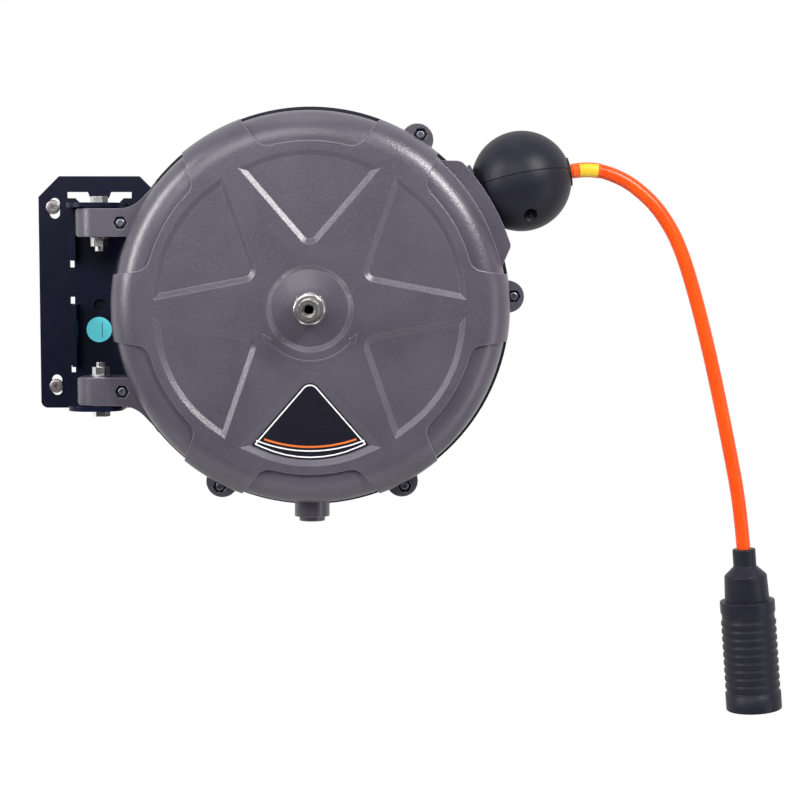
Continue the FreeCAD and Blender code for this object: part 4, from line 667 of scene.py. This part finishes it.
# The free hose in the housing's front view, as (u, v)
ROUTE = (
    (219.99, 114.69), (238.24, 118.24), (266.10, 108.81), (286.20, 93.43), (299.92, 77.60), (313.67, 53.85),
    (326.77, 14.69), (342.39, -45.10), (357.85, -115.91), (370.39, -178.57), (375.06, -237.92),
)

# The band and the patch on it: distances along the hose, and the patch's turn from the front in degrees
BAND_START = 2.5
BAND_END = 26.0
BAND_STEPS = 24
BAND_THICK = 0.35
PATCH_START = 8.0
PATCH_END = 24.0
PATCH_STEPS = 16
PATCH_TURN = (-52, 62)
PATCH_TURN_STEPS = 14
PATCH_THICK = 0.15
PATCH_HIGH = 0.1

# How deep a groove of the grip may be to be filled, and how much of it is
GROOVE_REACH = 3.2
GROOVE_FILL = 0.5
COUPLER_NODES = (
    "hose_ferrule", "coupler_body", "coupler_barrel", "coupler_seal", "coupler_spring", "coupler_collar",
)


class REEL_OT_hose(bpy.types.Operator):
    """The free hose with its band and patch, and the grip and coupler at its end"""

    bl_idname = "reel.hose"
    bl_label = "Hose"

    def execute(self, context):
        sizes = context.scene.reel_sizes
        radius = sizes.hose_diameter / 2
        outside = radius + BAND_THICK * MM
        places = [on_housing(u, v) for u, v in ROUTE]
        hose = self.free_hose(places)
        line = [vertex.co.copy() for vertex in plain_mesh(hose).vertices]
        hose.data.bevel_depth = radius
        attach(hose, "housing")
        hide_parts("free_hose")
        with_pieces = [self.band(line, outside), self.patch(line, outside)]
        with_pieces += [dress(node) for node in COUPLER_NODES]
        shortens("coupler_spring")
        with_pieces.append(self.grip())
        return {"FINISHED"}

    @staticmethod
    def free_hose(places):
        """An open NURBS curve that the places steer, as yet without thickness."""
        curve = bpy.data.curves.new("hose_outside", "CURVE")
        curve.dimensions = "3D"
        curve.bevel_resolution = 8
        curve.use_fill_caps = True
        curve.materials.append(finishes["orange_hose"])
        spline = curve.splines.new("NURBS")
        spline.points.add(len(places) - 1)
        for point, place in zip(spline.points, places):
            point.co = (*place, 1)
        spline.order_u = 3
        spline.use_endpoint_u = True
        spline.resolution_u = 10
        return new_object("hose_outside", curve)

    @staticmethod
    def band(line, radius):
        """A thin sleeve round the hose's first stretch, swept along its line."""
        places = [place for place, _ in along(line, BAND_START * MM, BAND_END * MM, BAND_STEPS)]
        path = new_mesh("band_path", places, edges=[(n, n + 1) for n in range(BAND_STEPS)])
        tree = Pattern("Sleeve along a line")
        wide = tree.ask("Radius", "Float")
        curve = tree.node("GeometryNodeMeshToCurve", Mesh=tree.given("Geometry"))
        ring = tree.node("GeometryNodeCurvePrimitiveCircle", Resolution=48, Radius=tree.given("Radius"))
        swept = tree.node("GeometryNodeCurveToMesh", Curve=curve, Profile_Curve=ring, Fill_Caps=True)
        tree.end(swept, finishes["band_film"])
        mesh = tree.grow(path, {wide: radius}, "band_sleeve")
        shade(mesh, crease=40)
        return new_piece("hose_band", mesh, "housing", replaced=["marker_band"])

    @staticmethod
    def patch(line, radius):
        """A plain yellow patch wrapped on the band."""
        corners = []
        low, high = PATCH_TURN
        for place, way in along(line, PATCH_START * MM, PATCH_END * MM, PATCH_STEPS):
            front = Vector((0, -1, 0))
            side = way.cross(front).normalized()
            for step in range(PATCH_TURN_STEPS + 1):
                turn = math.radians(low + (high - low) * step / PATCH_TURN_STEPS)
                out = front * math.cos(turn) + side * math.sin(turn)
                corners.append(place + out * (radius + PATCH_HIGH * MM))
        width = PATCH_TURN_STEPS + 1
        faces = []
        for row in range(PATCH_STEPS):
            for first in range(row * width, row * width + PATCH_TURN_STEPS):
                faces.append([first, first + 1, first + width + 1, first + width])
        mesh = new_mesh("band_patch", corners, faces=faces)
        shade(mesh, crease=40)
        piece = new_piece("hose_patch", mesh, "housing", [finishes["yellow_band"]])
        thick = piece.modifiers.new("thick", "SOLIDIFY")
        thick.thickness = PATCH_THICK * MM
        thick.offset = 0
        return piece

    @staticmethod
    def grip():
        """The grip's ribs are soft swellings, so its grooves are made shallower."""
        sleeve = smooth_copy("grip_sleeve", crease=70)
        way = way_of("collar_slide")
        low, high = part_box("coupler_collar")
        middle = (low + high) / 2
        middle -= way * way.dot(middle)
        outs = [vertex.co - way * way.dot(vertex.co) - middle for vertex in sleeve.data.vertices]
        crest = max(out.length for out in outs)
        for vertex, out in zip(sleeve.data.vertices, outs):
            depth = crest - out.length
            if depth < GROOVE_REACH * MM:
                vertex.co += out.normalized() * depth * GROOVE_FILL
        return sleeve


# The label: how far it stays inside the panel, its thickness, edge, rounded corners and pale line
LABEL_INSET = 1.3
LABEL_THICK = 0.35
LABEL_EDGE = 0.25
LABEL_EDGE_HIGH = 0.1
LABEL_LINE = 1.5
LABEL_TIP = 10.5
LABEL_CORNER = 2.2
LABEL_CORNER_LEAST = 0.3
LABEL_CORNER_LOSS = 0.6
LABEL_ARC = PANEL_ARC * 0.93
CORNER_STEPS = 8

# The label's stripes: radius about the hub, half width, reach to each side in degrees, and ink
STRIPES = ((119.0, 0.55, 22.32, "label_line"), (115.6, 0.8, 19.44, "label_accent"))
STRIPE_HIGH = 0.08
STRIPE_STEPS = 24

# The raised arrow: its ends as turns in degrees, half width of shaft and heads, and a head's length
ARROW_FROM = 207
ARROW_TO = 333
ARROW_HALF = 1.5
ARROW_HEAD = 3.9
ARROW_POINT = 9.0
ARROW_PROUD = 0.55
ARROW_SUNK = 0.3
ARROW_ROUND = 0.4
ARROW_STEPS = 40

# The rim screws' places, as distances from the housing's axis and turns in degrees, and how far round each
# the painted shade of its pocket reaches
RIM_SCREWS = ((172.5, 57.5), (172.5, 3.0), (172.5, -62.6), (172.5, -117.2), (175.0, 156.0), (175.0, 204.0))
POCKET_REACH = 5.6


def polar(radius, turn):
    """A flat point from its distance and its turn in radians."""
    return radius * math.cos(turn), radius * math.sin(turn)


def rounded(corners):
    """Points round a closed outline of rounded corners, each given as (x, y, radius)."""
    points = []
    for number, (x, y, radius) in enumerate(corners):
        here = Vector((x, y))
        back = (Vector(corners[number - 1][:2]) - here).normalized()
        on = (Vector(corners[(number + 1) % len(corners)][:2]) - here).normalized()
        half = back.angle(on) / 2
        centre = here + (back + on).normalized() * (radius / math.sin(half))
        start = here + back * (radius / math.tan(half)) - centre
        sweep = (math.pi - 2 * half) * (1 if back.cross(on) < 0 else -1)
        for step in range(CORNER_STEPS + 1):
            points.append(centre + Matrix.Rotation(sweep * step / CORNER_STEPS, 2) @ start)
    return points


def label_outline(inset):
    """The label's outline, which follows the lower panel's floor, drawn in by inset millimetres."""
    tip_angle = math.atan2(PANEL_SIDE, PANEL_CORNER - PANEL_TIP)
    lean = math.atan2(PANEL_CROWN - PANEL_CORNER, PANEL_SIDE)
    tip = PANEL_TIP + inset / math.sin(tip_angle)
    crown = PANEL_CROWN - inset / math.cos(lean)
    half = (crown - tip) / (1 / math.tan(tip_angle) + math.tan(lean))
    side = crown - half * math.tan(lean)
    corner = max(LABEL_CORNER_LEAST, LABEL_CORNER - inset * LABEL_CORNER_LOSS)
    return rounded([
        (0, -tip, LABEL_TIP - inset),
        (-half, -side, corner),
        (0, -crown, LABEL_ARC - inset),
        (half, -side, corner),
    ])


class REEL_OT_shells(bpy.types.Operator):
    """Housing shells, seal, screws, blank label and raised arrow"""

    bl_idname = "reel.shells"
    bl_label = "Shells"

    def execute(self, context):
        sizes = context.scene.reel_sizes
        self.paint_pocket_shade(smooth_copy("front_shell", crease=24))
        smooth_copy("rear_shell", crease=24)
        smooth_copy("rim_seal", crease=24)
        smooth_copy("shell_screws", crease=30, finish="spring_steel")
        smooth_copy("latch_cap", crease=30, finish="black_plastic")
        dress("shell_nuts")
        self.label(sizes.label_border / MM)
        self.arrow(sizes.arrow_radius / MM)
        return {"FINISHED"}

    @staticmethod
    def paint_pocket_shade(shell):
        """The insides of the rim screws' pockets are painted near black, a painted shade for their depth."""
        shell.data.materials.append(finishes["pocket_dark"])
        centres = [on_housing(*polar(reach, math.radians(turn))) for reach, turn in RIM_SCREWS]
        for face in shell.data.polygons:
            for centre in centres:
                away = face.center - centre
                if math.hypot(away.x, away.z) < POCKET_REACH * MM:
                    face.material_index = 1

    def label(self, border):
        """A dark sector with a pale line near its edge and two plain curved stripes."""
        insets = (0, 0, LABEL_EDGE, LABEL_LINE, LABEL_LINE + border)
        pale = insets.index(LABEL_LINE)
        low = PANEL_FLOOR - SUNK
        top = low + LABEL_THICK
        outlines = [label_outline(LABEL_INSET + inset) for inset in insets]
        mesh, bands = stacked("label", outlines, (low, top - LABEL_EDGE_HIGH, top, top, top))
        for face, band in zip(mesh.polygons, bands):
            face.material_index = 1 if band == pale else 0
        new_piece("label", mesh, "housing", [finishes["label_field"], finishes["label_line"]])
        for number, (radius, half, reach, ink) in enumerate(STRIPES):
            name = f"label_stripe_{number}"
            mesh = extruded(name, self.stripe(radius, half, reach), top - SUNK, top + STRIPE_HIGH)
            new_piece(name, mesh, "housing", [finishes[ink]])

    @staticmethod
    def stripe(radius, half, reach):
        """The outline of a stripe bent round the hub below it."""
        points = []
        for side, way in ((radius - half, 1), (radius + half, -1)):
            for step in range(STRIPE_STEPS + 1):
                turn = 270 + way * reach * (2 * step / STRIPE_STEPS - 1)
                points.append(polar(side, math.radians(turn)))
        return points

    @staticmethod
    def arrow(radius):
        """A raised arrow with two heads, bent round the hub."""
        start = math.radians(ARROW_FROM)
        end = math.radians(ARROW_TO)
        head = ARROW_POINT / radius
        span = end - start - 2 * head
        shaft = [start + head + span * step / ARROW_STEPS for step in range(ARROW_STEPS + 1)]
        outer = [(radius + ARROW_HALF, turn) for turn in shaft]
        inner = [(radius - ARROW_HALF, turn) for turn in reversed(shaft)]
        wide, narrow = radius + ARROW_HEAD, radius - ARROW_HEAD
        end_head = [(wide, end - head), (radius, end), (narrow, end - head)]
        start_head = [(narrow, start + head), (radius, start), (wide, start + head)]
        outline = [polar(*corner) for corner in outer + end_head + inner + start_head]
        mesh = extruded("raised_arrow", outline, FACE - ARROW_SUNK, FACE + ARROW_PROUD)
        piece = new_piece("raised_arrow", mesh, "housing", [finishes["grey_shell"]])
        edge = piece.modifiers.new("edge", "BEVEL")
        edge.width = ARROW_ROUND * MM
        edge.segments = 3
        edge.limit_method = "ANGLE"
        edge.angle_limit = math.radians(35)


# How near the ends of their row the thrust washers are
THRUST_WASHERS = 4.0

# The sticker on the bracket's base, from the wall's middle as (x, z), and its line's sides and reach
BASE_THICK = 4.0
STICKER_PLACE = (-1.0, -32.2)
STICKER_THICK = 0.15
STICKER_LINE = (2.4, 3.0)
STICKER_LINE_REACH = 0.62

# The wall screws: places as (x, z), shank, head from its start to its flat top, and cross recess
SCREW_PLACES = ((-40.5, 74.2), (-39.4, -81.7), (39.0, 73.2), (39.0, -80.8))
SCREW_SHANK = 2.7
SCREW_HEAD_FROM = 3.0
SCREW_HEAD_HIGH = 2.0
SCREW_HEAD_EDGE = 0.6
SCREW_HEAD_FLAT = 0.55
SCREW_HEAD_STEPS = 9
SCREW_SIDES = 40
SCREW_TURN = 1.4
RECESS_WIDE = 1.1
RECESS_REACH = 0.52
RECESS_DEEP = 1.7
RECESS_TAPER = 0.45


def revolve(profile, steps):
    """A closed mesh turned about z from (radius, z) points that start and end on the axis."""
    work = bmesh.new()
    turns = [math.tau * step / steps for step in range(steps)]
    previous = None
    for radius, height in profile:
        if radius <= 0:
            ring = [work.verts.new((0, 0, height))]
        else:
            ring = [work.verts.new((*polar(radius, turn), height)) for turn in turns]
        if previous:
            for step in range(steps):
                after = (step + 1) % steps
                loop = [previous[step % len(previous)], previous[after % len(previous)],
                        ring[after % len(ring)], ring[step % len(ring)]]
                work.faces.new(list(dict.fromkeys(loop)))
        previous = ring
    bmesh.ops.recalc_face_normals(work, faces=work.faces)
    return mesh_from("turned", work)


def cross_recess(head, reach, top):
    """Cut a cross recess into the top of a turned screw head."""
    work = bmesh.new()
    for turn in (0, math.pi / 2):
        made = bmesh.ops.create_cube(work, size=1)
        for vertex in made["verts"]:
            taper = 1.0 if vertex.co.z > 0 else RECESS_TAPER
            x, y, z = vertex.co
            arm = Vector((x * 2 * reach * taper, y * RECESS_WIDE * MM, z * 2 * RECESS_DEEP * MM))
            vertex.co = Matrix.Rotation(turn, 3, "Z") @ arm + Vector((0, 0, top))
    tool = new_object("cross_tool", mesh_from("cross", work))
    body = new_object("screw_head", head)
    cut = body.modifiers.new("cut", "BOOLEAN")
    cut.object = tool
    cut.operation = "DIFFERENCE"
    cut.use_self = True
    result = plain_mesh(body)
    bpy.data.objects.remove(body)
    bpy.data.objects.remove(tool)
    return result


class REEL_OT_bracket(bpy.types.Operator):
    """Wall plate, bracket, pivot bolts, wall screws and a plain sticker"""

    bl_idname = "reel.bracket"
    bl_label = "Plate and bracket"

    def execute(self, context):
        sizes = context.scene.reel_sizes
        for node in ("wall_plate", "swivel_bracket", "pivot_bolts", "pivot_nuts"):
            smooth_copy(node, crease=30)
        self.washers()
        dress("pivot_bushes")
        self.sticker(sizes.sticker_radius / MM)
        self.wall_screws(sizes.screw_head / MM)
        return {"FINISHED"}

    @staticmethod
    def washers():
        """The thrust washers by the ears are black, the ones under the nuts are plated."""
        piece = smooth_copy("pivot_washers", crease=30)
        piece.data.materials.append(finishes["washer_black"])
        low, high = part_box("pivot_washers")
        middle = (low.z + high.z) / 2
        reach = (high.z - low.z) / 2 - THRUST_WASHERS * MM
        for face in piece.data.polygons:
            if abs(face.center.z - middle) > reach:
                face.material_index = 1

    @staticmethod
    def sticker(radius):
        """A plain round sticker on the bracket's base, with a thin dark line across it."""
        base_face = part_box("wall_plate")[0].y - BASE_THICK * MM
        x, z = STICKER_PLACE

        def on_base(right, up, proud):
            return Vector((x * MM + right * MM, base_face - proud * MM, z * MM + up * MM))

        disc = [polar(radius, math.tau * step / 64) for step in range(64)]
        mesh = extruded("sticker", disc, 0.0, STICKER_THICK, on_base)
        new_piece("sticker", mesh, "wall", [finishes["sticker"]])
        left, right = STICKER_LINE
        reach = radius * STICKER_LINE_REACH
        line = [(left, -reach), (right, -reach), (right, reach), (left, reach)]
        mesh = extruded("sticker_line", line, STICKER_THICK * 0.5, STICKER_THICK + SUNK, on_base)
        new_piece("sticker_line", mesh, "wall", [finishes["sticker_ink"]])

    @staticmethod
    def wall_screws(head):
        """Pan-head screws in the plate's slots, one mesh set at four places."""
        base, top = SCREW_HEAD_FROM, SCREW_HEAD_FROM + SCREW_HEAD_HIGH
        edge = base + SCREW_HEAD_EDGE
        profile = [(0, 0), (SCREW_SHANK, 0), (SCREW_SHANK, base), (head, base)]
        for step in range(SCREW_HEAD_STEPS + 1):
            angle = math.pi / 2 * step / SCREW_HEAD_STEPS
            out = head * (SCREW_HEAD_FLAT + (1 - SCREW_HEAD_FLAT) * math.cos(angle))
            profile.append((out, edge + (top - edge) * math.sin(angle)))
        profile.append((0, top))
        turned = revolve([(radius * MM, height * MM) for radius, height in profile], SCREW_SIDES)
        screw = cross_recess(turned, head * RECESS_REACH * MM, top * MM)
        shade(screw, crease=35)
        holder = bpy.data.objects.new("screw_pattern", screw)
        points = new_mesh("screw_places", [(x * MM, 0, z * MM) for x, z in SCREW_PLACES])
        tree = Pattern("Screws at points")
        pattern = tree.ask("Screw", "Object")
        swing = tree.ask("Turn", "Float")
        info = tree.node("GeometryNodeObjectInfo", {"transform_space": "ORIGINAL"}, "Geometry",
                         Object=tree.given("Screw"))
        turn = tree.node("FunctionNodeRandomValue", {"data_type": "FLOAT"}, "Value_001",
                         Max_001=tree.given("Turn"), Seed=4)
        spin = tree.node("ShaderNodeCombineXYZ", X=math.pi / 2, Y=turn)
        placed = tree.node("GeometryNodeInstanceOnPoints", Points=tree.given("Geometry"), Instance=info,
                           Rotation=spin)
        tree.end(placed, finishes["dull_screw"])
        mesh = tree.grow(points, {pattern: holder, swing: SCREW_TURN}, "wall_screws")
        bpy.data.objects.remove(holder)
        new_piece("wall_screws", mesh, "wall")


class REEL_OT_outlet(bpy.types.Operator):
    """Outlet throat, guide rollers, ball stop and its collar"""

    bl_idname = "reel.outlet"
    bl_label = "Outlet and ball stop"

    def execute(self, context):
        for node in ("outlet_throat", "ball_upper", "ball_lower", "ball_screws"):
            smooth_copy(node, crease=26)
        smooth_copy("ball_collar", crease=26, finish="black_rubber")
        for node in ("guide_roller_upper", "guide_roller_lower", "roller_pins", "hose_lead"):
            dress(node)
        return {"FINISHED"}


class REEL_OT_inlet(bpy.types.Operator):
    """Air inlet fitting on the hub"""

    bl_idname = "reel.inlet"
    bl_label = "Inlet"

    def execute(self, context):
        smooth_copy("inlet_fitting", crease=30)
        # The hub shaft, seen in the hole behind the fitting, is painted near black as painted shade.
        smooth_copy("hub_shaft", crease=30, finish="pocket_dark")
        smooth_copy("shaft_nut", crease=30)
        return {"FINISHED"}


class REEL_OT_inside(bpy.types.Operator):
    """Finishes of the drum, power spring, air swivel and latch"""

    bl_idname = "reel.inside"
    bl_label = "Inside"

    def execute(self, context):
        inside = (
            "drum_flange_front", "drum_flange_rear", "latch_catches", "drum_core", "drum_bushes",
            "spring_cover", "power_spring", "swivel_block", "swivel_seals", "hose_tail", "hose_windings",
            "latch_plunger", "latch_spring",
        )
        for node in inside:
            dress(node)
        shortens("latch_spring")
        return {"FINISHED"}


OPERATORS = (
    REEL_OT_stage, REEL_OT_hose, REEL_OT_shells, REEL_OT_bracket, REEL_OT_outlet, REEL_OT_inlet,
    REEL_OT_inside,
)


class REEL_PT_panel(bpy.types.Panel):
    """The reel's sizes, colours and operators in the sidebar"""

    bl_label = "Hose Reel"
    bl_idname = "REEL_PT_panel"
    bl_space_type = "VIEW_3D"
    bl_region_type = "UI"
    bl_category = "Hose Reel"

    def draw(self, context):
        for group in (context.scene.reel_sizes, context.scene.reel_finishes):
            for name in group.__annotations__:
                self.layout.prop(group, name)
        for operator in OPERATORS:
            self.layout.operator(operator.bl_idname)


CLASSES = (ReelFinishes, ReelSizes, *OPERATORS, REEL_PT_panel)


def register():
    for item in CLASSES:
        bpy.utils.register_class(item)
    bpy.types.Scene.reel_finishes = bpy.props.PointerProperty(type=ReelFinishes)
    bpy.types.Scene.reel_sizes = bpy.props.PointerProperty(type=ReelSizes)


def unregister():
    del bpy.types.Scene.reel_sizes
    del bpy.types.Scene.reel_finishes
    for item in reversed(CLASSES):
        bpy.utils.unregister_class(item)


def main():
    """Run the operators in order."""
    register()
    make_finishes(bpy.context.scene.reel_finishes)
    for operator in OPERATORS:
        group, name = operator.bl_idname.split(".")
        getattr(getattr(bpy.ops, group), name)()


if __name__ == "__main__":
    main()
